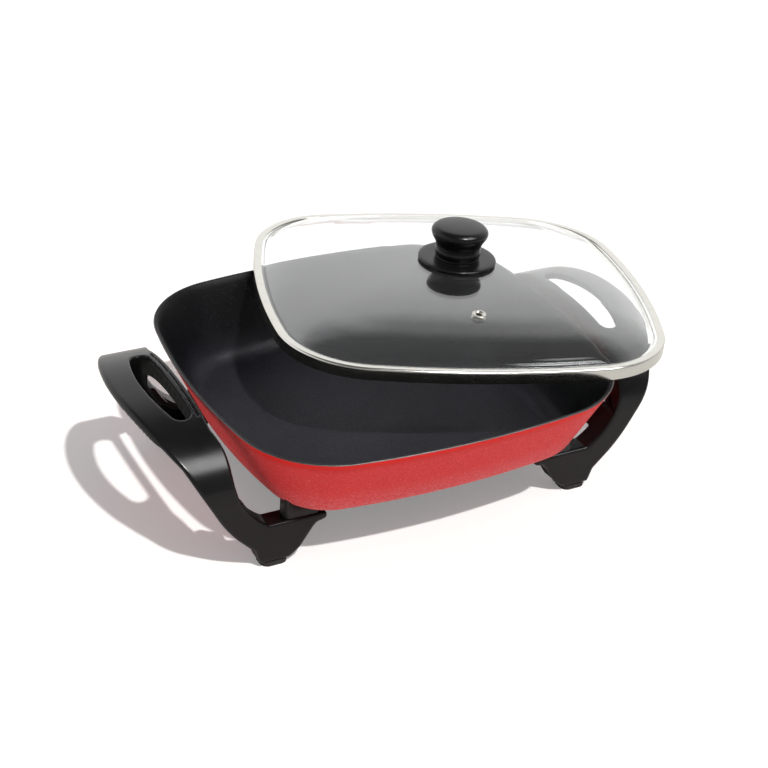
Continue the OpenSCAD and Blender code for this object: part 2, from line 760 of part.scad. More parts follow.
module handle()
    difference() {
        intersection() {
            bar_y(handle_half + sink) leg_front();
            translate([half_l + grip_reach - grip_arc_r, 0, -far])
                cylinder(r = grip_arc_r, h = 2 * far, $fn = 180);
            bar_x(0, far) difference() {
                arch_section(handle_half, grip_rise, -far);
                arch_section(handle_half - leg_web_depth, grip_rise - web_depth, -far - sink);
                translate([web_depth - handle_half, web_foot_z - 2 * far])
                    square([2 * (handle_half - web_depth), 2 * far]);
            }
        }
        grip_step_cut();
        handle_hollow();
        finger_slot();
        bar_groove();
        for (side = [-1, 1]) {
            translate([lug_x, side * leg_y, foot_z])
                cylinder(d = screw_d + 2 * screw_gap, h = rim_height);
            translate([lug_x, side * leg_y, foot_z - sink])
                cylinder(d = screw_head_d + head_room, h = washer_z - foot_z + sink);
            translate([foot_x, side * leg_y, foot_z - sink])
                cylinder(d = pad_stem_d + 2 * seat_gap, h = pad_stem_length + sink + seat_gap);
        }
    }

module right_handle() color(black) in_place() handle();

module left_handle() color(black) in_place() mirror([1, 0, 0]) handle();

module foot_pad(x, y)
    color(black * 1.6) in_place() translate([x * foot_x, y * leg_y, -rim_height]) {
        linear_extrude(pad_t - hair) rounded_rect(pad_length, pad_width, pad_corner_r);
        cylinder(d = pad_stem_d, h = pad_t + pad_stem_length);
    }

module foot_pad_front_left() foot_pad(-1, -1);
module foot_pad_front_right() foot_pad(1, -1);
module foot_pad_rear_left() foot_pad(-1, 1);
module foot_pad_rear_right() foot_pad(1, 1);

// Pan-head screws, up through the arms into the lugs, with a cross recess.
module handle_screws()
    color(steel) in_place() each_corner() translate([0, 0, washer_z - washer_t]) {
        cylinder(d = screw_d, h = screw_length);
        difference() {
            translate([0, 0, -screw_head_h]) cylinder(d = screw_head_d, h = screw_head_h);
            for (turn = [0, 90]) rotate([0, 0, turn])
                translate([0, 0, -screw_head_h])
                    cube([screw_head_d * recess_share, recess_w, screw_head_h], center = true);
        }
    }

module handle_washers()
    color(steel) in_place() each_corner() translate([0, 0, washer_z - washer_t])
        difference() {
            cylinder(d = screw_head_d + head_room - washer_slack, h = washer_t);
            translate([0, 0, -sink]) cylinder(d = screw_d + 2 * seat_gap, h = washer_t + 2 * sink);
        }

module heating_element()
    color(steel) in_place()
        along_heater(pin_x) translate([0, inlet_z]) circle(d = heater_d);

// The section's x is the radius and its y runs along X.
module terminal_pins()
    color(steel) in_place() for (side = [-1, 1])
        along_x(side * pin_y, inlet_z)
            polygon([
                [0, pin_x],
                [pin_d / 2, pin_x],
                [pin_d / 2, pin_x + pin_length - pin_nose],
                [pin_nose_r, pin_x + pin_length],
                [0, pin_x + pin_length]
            ]);

module heater_bushes()
    color(ceramic) in_place() for (side = [-1, 1])
        along_x(side * pin_y, inlet_z)
            translate([pin_d / 2 + seat_gap, pin_x + seat_gap])
                square([(bush_d - pin_d) / 2 - seat_gap, bush_length]);

// A tube closed at its inner end.
module probe_tube()
    color(steel) in_place()
        along_x(0, inlet_z)
            polygon([
                [0, probe_x - probe_length],
                [probe_d / 2 + probe_wall, probe_x - probe_length],
                [probe_d / 2 + probe_wall, probe_x],
                [probe_d / 2, probe_x],
                [probe_d / 2, probe_x - probe_length + probe_end_t],
                [0, probe_x - probe_length + probe_end_t]
            ]);

// A shroud round the pins, open outboard, with a back plate that the pieces pass through.
module inlet_guard() {
    height = guard_above + guard_below;
    middle_z = inlet_z + (guard_above - guard_below) / 2;
    color(black) in_place() difference() {
        translate([guard_back_x, 0, middle_z]) rotate([90, 0, 90]) linear_extrude(guard_depth)
            rounded_rect(guard_width, height, guard_corner_r);
        translate([guard_back_x + guard_wall, 0, middle_z]) rotate([90, 0, 90])
            linear_extrude(guard_depth)
                rounded_rect(
                    guard_width - 2 * guard_wall, height - 2 * guard_wall, guard_corner_r - guard_wall
                );
        guard_hole(0, probe_d + 2 * probe_wall + 2 * seat_gap);
        for (side = [-1, 1]) {
            guard_hole(side * pin_y, bush_d + 2 * seat_gap);
            guard_hole(side * boss_y, guard_screw_d + 2 * seat_gap);
        }
    }
}

module guard_hole(y, d)
    translate([guard_back_x - sink, y, inlet_z]) rotate([0, 90, 0])
        cylinder(d = d, h = guard_wall + 2 * sink);

module guard_screws()
    color(steel) in_place() for (side = [-1, 1])
        translate([guard_back_x + guard_wall, side * boss_y, inlet_z]) rotate([0, 90, 0]) {
            translate([0, 0, seat_gap - guard_screw_length])
                cylinder(d = guard_screw_d, h = guard_screw_length);
            translate([0, 0, seat_gap]) difference() {
                cylinder(d = 2 * guard_screw_d, h = guard_head_h);
                for (turn = [0, 90]) rotate([0, 0, turn])
                    translate([0, 0, guard_head_h])
                        cube([2 * guard_screw_d * recess_share, recess_w, 1.4 * guard_head_h], center = true);
            }
        }

// A channel of sheet: outer wall, top flange over the glass and lip under it.
module lid_band() {
    section = [
        [0, 0],
        [0, band_h - bend_r],
        [0.3 * bend_r, band_h - 0.3 * bend_r],
        [bend_r, band_h],
        [flange_width, band_h],
        [flange_width, band_h - band_t],
        [bend_r, band_h - band_t],
        [band_t, band_h - bend_r],
        [band_t, lip_z + band_t],
        [lip_width, lip_z + band_t],
        [lip_width, lip_z],
        [band_t, lip_z],
        [band_t, 0]
    ];
    color(steel) on_lid() skin([for (p = section) outline_ring(p.x - lid_over, p.y)], closed = true);
}

// The pane from the middle of its underside, out round its edge and back over the dome.
module glass_pane() {
    shares = dome_rings;
    top_z = glass_z + glass_t;
    border = glass_border - lid_over;
    edge = glass_inset - lid_over;
    inward = [for (s = shares) outline_ring(border, top_z + dome_height(s), s)];
    under = [
        for (i = [len(shares) - 1:-1:0])
            outline_ring(border, glass_z + dome_height(shares[i]), shares[i])
    ];
    rim = [
        outline_ring(edge, glass_z),
        outline_ring(edge, top_z - glass_chamfer),
        outline_ring(edge + glass_chamfer, top_z)
    ];
    skin(concat(under, rim, inward));
}

module lid_glass()
    color(clear) on_lid() difference() {
        glass_pane();
        translate([0, 0, glass_z]) cylinder(d = knob_screw_d + knob_hole_over, h = 2 * dome_rise);
        on_vent() translate([0, 0, -2 * glass_t])
            cylinder(d = vent_hole_d + 2 * vent_sheet_t + 2 * seat_gap, h = 4 * glass_t);
    }

// The vent's own frame: its origin on the glass and its Z square to it.
module on_vent() translate([0, -vent_offset, vent_z]) rotate([vent_tilt, 0, 0]) children();

// A rolled steel eyelet: flange above the glass, barrel through it and a short lip below.
module vent_eyelet() {
    barrel_r = vent_hole_d / 2 + vent_sheet_t;
    reach = glass_t + vent_lip;
    color(steel) on_lid() on_vent() rotate_extrude() translate([0, 2 * seat_gap])
        polygon([
            [vent_hole_d / 2, -reach],
            [barrel_r, -reach],
            [barrel_r, 0],
            [vent_d / 2 - 0.6, 0],
            [vent_d / 2, 0.5],
            [vent_d / 2 - 0.3, 1],
            [vent_hole_d / 2 + 1.2, vent_sheet_t + 0.5],
            [vent_hole_d / 2 + 0.3, vent_sheet_t + 0.1],
            [vent_hole_d / 2, vent_sheet_t - 0.4]
        ]);
}

module vent_washer()
    color(steel) on_lid() on_vent() rotate_extrude()
        translate([vent_hole_d / 2 + vent_sheet_t + seat_gap, -glass_t - 1.1])
            square([(vent_d - vent_hole_d) / 2 - vent_sheet_t - seat_gap, 0.8]);

// A shallow bakelite disc with a rounded edge and a recess for the gasket.
module knob_disc() {
    r = disc_d / 2;
    color(black) on_lid() rotate_extrude()
        polygon([
            [knob_screw_d / 2 + screw_gap, disc_under_z],
            [r - 4.2, disc_under_z],
            [r - 3.2, disc_under_z - disc_recess],
            [r - 0.8, disc_under_z - disc_recess],
            [r, disc_under_z],
            [r, disc_top_z - 1.1],
            [r - 0.8, disc_top_z - 0.3],
            [r - 3, disc_top_z],
            [knob_screw_d / 2 + screw_gap, disc_top_z]
        ]);
}

// The head and neck, one moulding with a pocket for the brass insert.
module knob_head() {
    low = disc_top_z + 2 * seat_gap;
    top = disc_top_z + knob_h;
    edge = top - head_h / 2 + 1;
    head_r = knob_d / 2;
    neck_r = neck_d / 2;
    color(black) on_lid() rotate_extrude()
        polygon([
            [insert_d / 2 + seat_gap, low],
            [neck_r - 0.6, low],
            [neck_r - 1.2, low + 1.2],
            [neck_r - 0.5, low + 3],
            [neck_r, low + 5.3],
            [neck_r - 0.3, low + 8],
            [neck_r - 0.2, top - head_h - 2.5],
            [neck_r + 0.6, top - head_h],
            [neck_r + 2.2, top - head_h + 2.6],
            [head_r - 0.7, edge - 2.4],
            [head_r, edge],
            [head_r - 0.3, edge + 2],
            [head_r - 1.6, top - 2],
            [head_r - 3.8, top - 0.6],
            [head_r - 8, top],
            [0, top + 0.6],
            [0, low + insert_length + seat_gap],
            [insert_d / 2 + seat_gap, low + insert_length + seat_gap]
        ]);
}

module knob_insert()
    color(brass) on_lid() translate([0, 0, disc_top_z + 2 * seat_gap])
        difference() {
            cylinder(d = insert_d, h = insert_length);
            translate([0, 0, -sink]) cylinder(d = knob_screw_d + 2 * seat_gap, h = insert_length - insert_end_t + sink);
        }

module knob_screw() {
    head_z = gasket_low_z - 2 * seat_gap - washer_t;
    tip_z = disc_top_z + insert_length - insert_end_t - tip_room;
    color(steel) on_lid() {
        translate([0, 0, head_z - knob_screw_head_h]) difference() {
            cylinder(d = knob_screw_head_d, h = knob_screw_head_h);
            for (turn = [0, 90]) rotate([0, 0, turn])
                cube([knob_screw_head_d * recess_share, recess_w, 0.8 * knob_screw_head_h], center = true);
        }
        translate([0, 0, head_z]) cylinder(d = knob_screw_d, h = tip_z - head_z);
    }
}

// A flat ring round the knob screw.
module knob_ring(z, outer_d, t)
    on_lid() translate([0, 0, z]) difference() {
        cylinder(d = outer_d, h = t);
        translate([0, 0, -sink]) cylinder(d = knob_screw_d + 2 * seat_gap, h = t + 2 * sink);
    }

module knob_washer() color(steel) knob_ring(gasket_low_z - seat_gap - washer_t, gasket_d - 2, washer_t);
module knob_gasket_bottom() color(silicone) knob_ring(gasket_low_z, gasket_d, gasket_t);
module knob_gasket_top() color(silicone) knob_ring(crown_z, gasket_d, gasket_t);

pan_body();
left_handle();
right_handle();
foot_pad_front_left();
foot_pad_front_right();
foot_pad_rear_left();
foot_pad_rear_right();
handle_screws();
handle_washers();
heating_element();
heater_bushes();
terminal_pins();
probe_tube();
inlet_guard();
guard_screws();
lid_band();
lid_glass();
vent_eyelet();
vent_washer();
knob_head();
knob_disc();
knob_insert();
knob_screw();
knob_washer();
knob_gasket_top();
knob_gasket_bottom();
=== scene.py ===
import math

import bmesh
import bpy
import numpy as np
from mathutils import Matrix, Vector


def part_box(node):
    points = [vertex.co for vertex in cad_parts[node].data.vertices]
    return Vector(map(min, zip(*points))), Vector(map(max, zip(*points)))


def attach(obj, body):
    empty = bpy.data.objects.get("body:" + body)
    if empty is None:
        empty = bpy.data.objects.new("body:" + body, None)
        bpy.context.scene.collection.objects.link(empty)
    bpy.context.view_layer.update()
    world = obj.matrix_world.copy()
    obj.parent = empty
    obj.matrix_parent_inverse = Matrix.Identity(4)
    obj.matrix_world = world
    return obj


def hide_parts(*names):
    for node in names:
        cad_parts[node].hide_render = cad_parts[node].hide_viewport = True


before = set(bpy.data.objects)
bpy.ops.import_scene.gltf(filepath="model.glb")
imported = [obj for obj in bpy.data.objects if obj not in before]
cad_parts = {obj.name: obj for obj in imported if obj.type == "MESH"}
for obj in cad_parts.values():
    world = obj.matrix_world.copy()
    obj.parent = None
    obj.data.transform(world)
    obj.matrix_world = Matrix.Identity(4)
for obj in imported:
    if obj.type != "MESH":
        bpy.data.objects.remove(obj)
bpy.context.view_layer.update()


# Pan: one aluminium casting with bulging sides and very round corners.
# It is sprayed red outside and black non-stick inside, and its rim is wiped bare,
# so that the metal shows as a thin grey lip between the two coats.
PAN_LOW, PAN_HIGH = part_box("pan_body")
PAN = Vector(((PAN_LOW.x + PAN_HIGH.x) / 2, (PAN_LOW.y + PAN_HIGH.y) / 2, PAN_HIGH.z))
PAN_PLACE = Matrix.Translation(PAN)
PAN_LENGTH = 0.320
PAN_WIDTH = 0.298
LONG_SIDE_R = 0.670
SHORT_SIDE_R = 0.485
CORNER_R = 0.074
CORNER = Vector((0.08006, 0.0696))
WALL_FLARE = 26
WALL = 0.00334
PAN_DEPTH = 0.063
FLOOR_T = 0.004
BASE_R = 0.020
INNER_R = 0.017
BASE_INSET = 0.04322
INNER_INSET = 0.04274
SIDE_STEPS = 28
CORNER_STEPS = 24
RED, BARE, BLACK, BASE = range(4)


def outline_arcs():
    """The four bulging sides and four corners as (centre, radius, start, sweep)."""
    long_y = PAN_WIDTH / 2 - LONG_SIDE_R
    short_x = PAN_LENGTH / 2 - SHORT_SIDE_R
    long_start = math.atan2(CORNER.y - long_y, CORNER.x)
    short_end = math.atan2(CORNER.y, CORNER.x - short_x)
    sweep = long_start - short_end
    quarter = math.pi / 2
    return [
        ((short_x, 0), SHORT_SIDE_R, -short_end, 2 * short_end),
        ((CORNER.x, CORNER.y), CORNER_R, short_end, sweep),
        ((0, long_y), LONG_SIDE_R, long_start, 2 * (quarter - long_start)),
        ((-CORNER.x, CORNER.y), CORNER_R, 2 * quarter - long_start, sweep),
        ((-short_x, 0), SHORT_SIDE_R, 2 * quarter - short_end, 2 * short_end),
        ((-CORNER.x, -CORNER.y), CORNER_R, 2 * quarter + short_end, sweep),
        ((0, -long_y), LONG_SIDE_R, 2 * quarter + long_start, 2 * (quarter - long_start)),
        ((CORNER.x, -CORNER.y), CORNER_R, 4 * quarter - long_start, sweep),
    ]


def outline_ring(inset, z, share=1.0):
    """Points round the outline at an inset and height, drawn toward the middle by share."""
    ring = []
    for centre, radius, start, sweep in outline_arcs():
        steps = CORNER_STEPS if radius == CORNER_R else SIDE_STEPS
        for i in range(steps):
            a = start + sweep * i / steps
            x = share * (centre[0] + (radius - inset) * math.cos(a))
            y = share * (centre[1] + (radius - inset) * math.sin(a))
            ring.append((x, y, z))
    return ring


def arc_points(x, z, radius, start, end, steps):
    """Points of an arc in a section, from one angle to another in degrees."""
    turns = [math.radians(start + (end - start) * i / steps) for i in range(steps + 1)]
    return [(x + radius * math.cos(t), z + radius * math.sin(t)) for t in turns]


def new_piece(name, verts, faces, place):
    """A smooth-shaded piece with outward faces, whose place is in its vertices."""
    mesh = bpy.data.meshes.new(name)
    mesh.from_pydata([place @ Vector(v) for v in verts], [], faces)
    work = bmesh.new()
    work.from_mesh(mesh)
    bmesh.ops.remove_doubles(work, verts=work.verts, dist=1e-6)
    bmesh.ops.recalc_face_normals(work, faces=work.faces)
    work.to_mesh(mesh)
    work.free()
    mesh.polygons.foreach_set("use_smooth", [True] * len(mesh.polygons))
    piece = bpy.data.objects.new(name, mesh)
    bpy.context.scene.collection.objects.link(piece)
    return piece


def loft(name, rings, place, closed=False):
    """A piece skinned over rings of equal length. Open ends are capped."""
    count = len(rings[0])
    verts = [p for ring in rings for p in ring]
    faces = []
    spans = len(rings) if closed else len(rings) - 1
    for k in range(spans):
        a, b = k * count, (k + 1) % len(rings) * count
        faces += [(a + i, a + (i + 1) % count, b + (i + 1) % count, b + i) for i in range(count)]
    if not closed:
        faces.append(tuple(range(count))[::-1])
        faces.append(tuple((len(rings) - 1) * count + i for i in range(count)))
    return new_piece(name, verts, faces, place)


def crisp(piece, angle=35):
    """Keeps edges sharper than an angle crisp and shades the rest round."""
    chosen = {"object": piece, "active_object": piece, "selected_editable_objects": [piece]}
    with bpy.context.temp_override(**chosen):
        bpy.ops.object.shade_smooth_by_angle(angle=math.radians(angle))


def put_on(piece, body, slot, *nodes):
    """Lets a piece ride on a body and stand for nodes. The slot is not used."""
    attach(piece, body)
    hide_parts(*nodes)


def pan_section():
    """The pan's section as (inset, height, share, coat), from the base up and over the rim."""
    section = [(BASE_INSET, -PAN_DEPTH, share, BASE) for share in (0.02, 0.25, 0.5, 0.75, 0.93)]
    foot = arc_points(BASE_INSET, BASE_R - PAN_DEPTH, BASE_R, 270, 180 + WALL_FLARE, 12)
    section += [(x, z, 1, BASE if i < 2 else RED) for i, (x, z) in enumerate(foot)]
    low_x, low_z = foot[-1]
    section += [(low_x * (1 - k / 9), low_z * (1 - k / 9), 1, RED) for k in range(1, 9)]
    section += [(0.0003, -0.0010, 1, RED), (0.0002, -0.0006, 1, RED)]
    section += [(0.0005, -0.0002, 1, BARE), (0.0010, 0, 1, BARE)]
    section += [(0.0014, 0, 1, BLACK), (0.0022, 0, 1, BLACK)]
    section += [(WALL - 0.0007, -0.0002, 1, BLACK), (WALL, -0.0008, 1, BLACK)]
    inner_z = INNER_R + FLOOR_T - PAN_DEPTH
    inner = arc_points(INNER_INSET, inner_z, INNER_R, 180 + WALL_FLARE, 270, 12)
    side_x, side_z = inner[0]
    section += [(WALL + (side_x - WALL) * k / 9, side_z * k / 9, 1, BLACK) for k in range(1, 9)]
    section += [(x, z, 1, BLACK) for x, z in inner]
    floor_z = FLOOR_T - PAN_DEPTH
    section += [(INNER_INSET, floor_z, share, BLACK) for share in (0.93, 0.75, 0.5, 0.25, 0.02)]
    return section


pan_rings = pan_section()
pan = loft("pan", [outline_ring(x, z, share) for x, z, share, coat in pan_rings], PAN_PLACE)
ring_size = len(outline_ring(0, 0))
for k, (*_, coat) in enumerate(pan_rings[1:]):
    for polygon in pan.data.polygons[k * ring_size : (k + 1) * ring_size]:
        polygon.material_index = coat
pan.data.polygons[-2].material_index = BASE
pan.data.polygons[-1].material_index = BLACK


def finish(name, colour, roughness, metallic=0.0, **sockets):
    """A finish with one Principled shader, whose plain values are on its own sockets."""
    material = bpy.data.materials.new(name)
    material.use_nodes = True
    shader = material.node_tree.nodes["Principled BSDF"]
    shader.inputs["Base Color"].default_value = (*colour, 1)
    shader.inputs["Roughness"].default_value = roughness
    shader.inputs["Metallic"].default_value = metallic
    for socket, value in sockets.items():
        shader.inputs[socket.replace("_", " ")].default_value = value
    return material


def add(material, kind, inputs=None, **settings):
    """A node of one kind, with its settings made and its inputs set or joined."""
    node = material.node_tree.nodes.new("ShaderNode" + kind)
    for key, value in settings.items():
        setattr(node, key, value)
    for key, value in (inputs or {}).items():
        if isinstance(value, bpy.types.NodeSocket):
            material.node_tree.links.new(value, node.inputs[key])
        else:
            node.inputs[key].default_value = value
    return node


def feed(material, socket, value):
    """Joins a value to one socket of the finish's shader."""
    shader = material.node_tree.nodes["Principled BSDF"]
    material.node_tree.links.new(value, shader.inputs[socket])


def place_on(material, stretch=(1, 1, 1)):
    """The place on the piece in metres, stretched along its axes where a grain runs one way."""
    place = add(material, "TexCoord").outputs["Object"]
    if stretch == (1, 1, 1):
        return place
    return add(material, "Mapping", {"Vector": place, "Scale": stretch}).outputs["Vector"]


def height_on(material):
    """The height on the piece, in metres above the table."""
    return add(material, "SeparateXYZ", {"Vector": place_on(material)}).outputs["Z"]


def cloud(material, scale, detail=3.0, stretch=(1, 1, 1)):
    """A cloudy number from 0 to 1, with scale patches to the metre."""
    inputs = {"Vector": place_on(material, stretch), "Scale": scale, "Detail": detail}
    return add(material, "TexNoise", inputs).outputs[0]


def flakes(material, scale):
    """A number from 0 to 1 that is different for each small flake."""
    cells = add(material, "TexVoronoi", {"Vector": place_on(material), "Scale": scale})
    return add(material, "SeparateColor", {"Color": cells.outputs["Color"]}).outputs["Red"]


def graded(material, value, low, high, to_low, to_high):
    """A number that runs from to_low to to_high as value runs from low to high."""
    span = {"From Min": low, "From Max": high, "To Min": to_low, "To Max": to_high}
    return add(material, "MapRange", {"Value": value, **span}).outputs["Result"]


def mixed(material, share, first, second):
    """The first colour where share is 0, and the second where it is 1."""
    first, second = ((*c, 1) if isinstance(c, tuple) else c for c in (first, second))
    return add(material, "Mix", {0: share, 6: first, 7: second}, data_type="RGBA").outputs[2]


def mottled(material, scale, dark, light):
    """Clouds the finish's colour between a darker and a lighter tone."""
    feed(material, "Base Color", mixed(material, cloud(material, scale), dark, light))


def uneven_gloss(material, scale, low, high, detail=3.0):
    """Lets the finish's roughness wander from low to high in cloudy patches."""
    patches = cloud(material, scale, detail)
    feed(material, "Roughness", graded(material, patches, 0.3, 0.7, low, high))


def relief(material, height, depth, strength=1.0):
    """Small relief on the finish, with its depth in metres."""
    bump = add(material, "Bump", {"Height": height, "Distance": depth, "Strength": strength})
    feed(material, "Normal", bump.outputs["Normal"])


red_coat = finish("red_coat", (0.62, 0.05, 0.052), 0.4, Specular_IOR_Level=0.03)
wall_height = height_on(red_coat)
# Painted light: the band just under the rim is painted brighter as a highlight, and the band below
# it darker as shade, as if the wall had a step that the mesh does not have.
painted_rim_highlight = graded(red_coat, wall_height, PAN.z - 0.0066, PAN.z - 0.0050, 0, 1)
painted_shade_under_rim = graded(red_coat, wall_height, PAN.z - 0.0105, PAN.z - 0.0062, 0, 0.45)
low_wall_for_sheen = graded(red_coat, wall_height, PAN.z - 0.060, PAN.z - 0.034, 1, 0)
red_and_painted_light = mixed(red_coat, flakes(red_coat, 1500), (0.66, 0.042, 0.044), (0.80, 0.068, 0.071))
fuller = graded(red_coat, cloud(red_coat, 22), 0.35, 0.7, 0, 0.25)
red_and_painted_light = mixed(red_coat, fuller, red_and_painted_light, (0.83, 0.060, 0.062))
glint = graded(red_coat, flakes(red_coat, 1100), 0.86, 1.0, 0, 0.4)
red_and_painted_light = mixed(red_coat, glint, red_and_painted_light, (0.85, 0.19, 0.20))
# Painted reflection: pale pink flecks, thicker toward the bottom of the wall, stand for the bright
# floor reflected in it.
painted_floor_sheen = graded(red_coat, flakes(red_coat, 1000), 0.45, 1, 0.10, 0.62)
painted_floor_sheen = add(red_coat, "Math", {0: low_wall_for_sheen, 1: painted_floor_sheen}, operation="MULTIPLY").outputs[0]
red_and_painted_light = mixed(red_coat, painted_floor_sheen, red_and_painted_light, (0.80, 0.34, 0.36))
red_and_painted_light = mixed(red_coat, painted_shade_under_rim, red_and_painted_light, (0.62, 0.022, 0.024))
feed(red_coat, "Base Color", mixed(red_coat, painted_rim_highlight, red_and_painted_light, (0.80, 0.030, 0.026)))
feed(red_coat, "Roughness", graded(red_coat, flakes(red_coat, 900), 0, 1, 0.30, 0.50))
relief(red_coat, cloud(red_coat, 900, 2), 0.00008, 0.6)

bare_lip = finish("bare_lip", (0.2, 0.2, 0.2), 0.4, 0.9)
mottled(bare_lip, 60, (0.04, 0.038, 0.038), (0.18, 0.165, 0.165))
uneven_gloss(bare_lip, 400, 0.3, 0.55)

black_coat = finish("black_coat", (0.012, 0.012, 0.014), 0.5, Specular_IOR_Level=0.16)
fillet_low = PAN.z + FLOOR_T - PAN_DEPTH + 0.002
# Painted light: the pan's floor is painted paler and bluish as a sheen, and the walls far darker
# as shade. The floor's cloud is its own uneven tone.
painted_wall_shade = graded(black_coat, height_on(black_coat), fillet_low, PAN.z - 0.036, 0, 1)
floor_cloud = cloud(black_coat, 26)
floor_tone_and_sheen = mixed(black_coat, floor_cloud, (0.0120, 0.0115, 0.0155), (0.0190, 0.0180, 0.0240))
coat_tone_and_painted_light = mixed(black_coat, painted_wall_shade, floor_tone_and_sheen, (0.0016, 0.0015, 0.0022))
coat_glint = graded(black_coat, flakes(black_coat, 1500), 0.90, 1.0, 0, 0.16)
feed(black_coat, "Base Color", mixed(black_coat, coat_glint, coat_tone_and_painted_light, (0.11, 0.115, 0.14)))
uneven_gloss(black_coat, 700, 0.34, 0.52, 2)
relief(black_coat, cloud(black_coat, 1300, 2), 0.00018, 0.8)

base_black = finish("base_black", (0.02, 0.02, 0.02), 0.6, Specular_IOR_Level=0.35)
mottled(base_black, 90, (0.010, 0.010, 0.011), (0.030, 0.029, 0.028))
uneven_gloss(base_black, 300, 0.5, 0.75)
relief(base_black, cloud(base_black, 700, 4), 0.00015)

for material in (red_coat, bare_lip, black_coat, base_black):
    pan.data.materials.append(material)
put_on(pan, "pan", "coated_pan", "pan_body")


# Castings under the pan: four lugs for the legs, the rib that clamps the heater,
# the block round the probe tube and two bosses for the inlet's screws.
# They are cast in one with the pan and carry the base's black heat-proof paint.
LUG_TOP = -0.050
LUG_FOOT = -0.070
LUG_SIZE = (0.028, 0.014)
LUG_R = 0.004
LUG_X = 0.108
LEG_Y = 0.0885
HEATER_Z = -0.069
RIB_HALF = 0.0065
GROOVE_R = 0.0036
TAIL_X = 0.105
TAIL_Y = 0.019
BEND_R = 0.015
LOOP_R = 0.055
CAST_EDGE = 0.0006
PROBE_HOLE_R = 0.0046
BLOCK_X = 0.0725
BLOCK_LENGTH = 0.046
BLOCK_HALF = 0.0066
BLOCK_TOP = 0.0070
BOSS_X = 0.112
BOSS_Y = 0.031
BOSS_LENGTH = 0.0149
BOSS_R = 0.005
BOSS_TOP = 0.011
PILOT_R = 0.0016


def rounded_outline(length, width, radius, inset, z, middle, steps=8):
    """A rectangle with round corners as a ring of points, moved inward by inset."""
    ring = []
    for turn, (sx, sy) in enumerate(((1, 1), (-1, 1), (-1, -1), (1, -1))):
        cx = middle[0] + sx * (length / 2 - radius)
        cy = middle[1] + sy * (width / 2 - radius)
        for x, y in arc_points(cx, cy, radius - inset, 90 * turn, 90 * turn + 90, steps):
            ring.append((x, y, z))
    return ring


def eased_block(name, size, radius, low, high, middle, edge, place):
    """An upright block with round corners and its lower edge eased."""
    levels = ((edge, low), (0.3 * edge, low + 0.3 * edge), (0, low + edge), (0, high))
    rings = [rounded_outline(*size, radius, inset, z, middle) for inset, z in levels]
    block = loft(name, rings, place)
    crisp(block)
    return block


def underside(piece):
    """Paints a casting black and lets it stand for its share of the pan."""
    piece.data.materials.append(base_black)
    put_on(piece, "pan", "coated_pan", "pan_body")


def cut_away(piece, cutter):
    """Takes one closed form out of a piece, and throws that form away."""
    hole = piece.modifiers.new("hole", "BOOLEAN")
    hole.operation = "DIFFERENCE"
    hole.object = cutter
    hole.solver = "EXACT"
    graph = bpy.context.evaluated_depsgraph_get()
    cut = bpy.data.meshes.new_from_object(piece.evaluated_get(graph))
    piece.modifiers.clear()
    piece.data = cut
    bpy.data.objects.remove(cutter)


def pan_inside():
    """The space in the pan and its inner skin, which the lugs stop short of."""
    skin = 0.001
    rings = [(INNER_INSET, FLOOR_T - PAN_DEPTH - skin, share) for share in (0.02, 0.5)]
    inner_z = INNER_R + FLOOR_T - PAN_DEPTH
    foot = arc_points(INNER_INSET, inner_z, INNER_R + skin, 270, 180 + WALL_FLARE, 12)
    rings += [(x, z, 1) for x, z in foot] + [(WALL - skin, 0, 1)]
    return loft("pan_inside", [outline_ring(x, z, share) for x, z, share in rings], PAN_PLACE)


for end, x in (("left", -LUG_X), ("right", LUG_X)):
    for row, y in (("front", -LEG_Y), ("rear", LEG_Y)):
        name = f"lug_{row}_{end}"
        lug = eased_block(name, LUG_SIZE, LUG_R, LUG_FOOT, LUG_TOP, (x, y), CAST_EDGE, PAN_PLACE)
        cut_away(lug, pan_inside())
        underside(lug)


def heater_path(end_x):
    """The heater's centreline seen from above, from one tail round the loop to the other."""
    half = [(end_x, TAIL_Y), (TAIL_X, TAIL_Y)]
    half += arc_points(TAIL_X, TAIL_Y + BEND_R, BEND_R, 270, 180, 10)[1:]
    half += arc_points(0.075, LOOP_R - BEND_R, BEND_R, 0, 90, 10)
    half += [(x, LOOP_R) for x in (0.045, 0.015, -0.015)]
    bend = arc_points(-0.045, 0, LOOP_R, 90, 270, 36)
    return half + bend + [(x, -y) for x, y in reversed(half)]


def along_path(name, path, section, place):
    """A piece whose section, as (across, height), follows a path seen from above."""
    rings = []
    for i, (x, y) in enumerate(path):
        before, after = path[max(i - 1, 0)], path[min(i + 1, len(path) - 1)]
        way = Vector((after[0] - before[0], after[1] - before[1])).normalized()
        rings.append([(x - way.y * across, y + way.x * across, z) for across, z in section])
    piece = loft(name, rings, place)
    crisp(piece)
    return piece


rib_top = 0.001 - PAN_DEPTH
rib_side = [(RIB_HALF - CAST_EDGE, HEATER_Z), (RIB_HALF, HEATER_Z + CAST_EDGE)]
rib_side.append((RIB_HALF, rib_top))
rib_section = [(-across, z) for across, z in reversed(rib_side)]
rib_section += arc_points(0, HEATER_Z, GROOVE_R, 180, 0, 14) + rib_side
underside(along_path("heater_rib", heater_path(TAIL_X + RIB_HALF), rib_section, PAN_PLACE))


def lying(x, y, z):
    """The place of a piece that lies along the pan's length, its own height toward the inlet."""
    return PAN_PLACE @ Matrix.Translation((x, y, z)) @ Matrix.Rotation(math.pi / 2, 4, "Y")


def bored_block(name, ring_out, bore_r, length, place):
    """A lying block with a bore through it, skinned from its outside to its bore."""
    turns = [math.atan2(y, x) for x, y in ring_out]
    bore = [(bore_r * math.cos(t), bore_r * math.sin(t)) for t in turns]
    loops = ((ring_out, 0), (ring_out, length), (bore, length), (bore, 0))
    rings = [[(x, y, z) for x, y in ring] for ring, z in loops]
    block = loft(name, rings, place, closed=True)
    crisp(block)
    return block


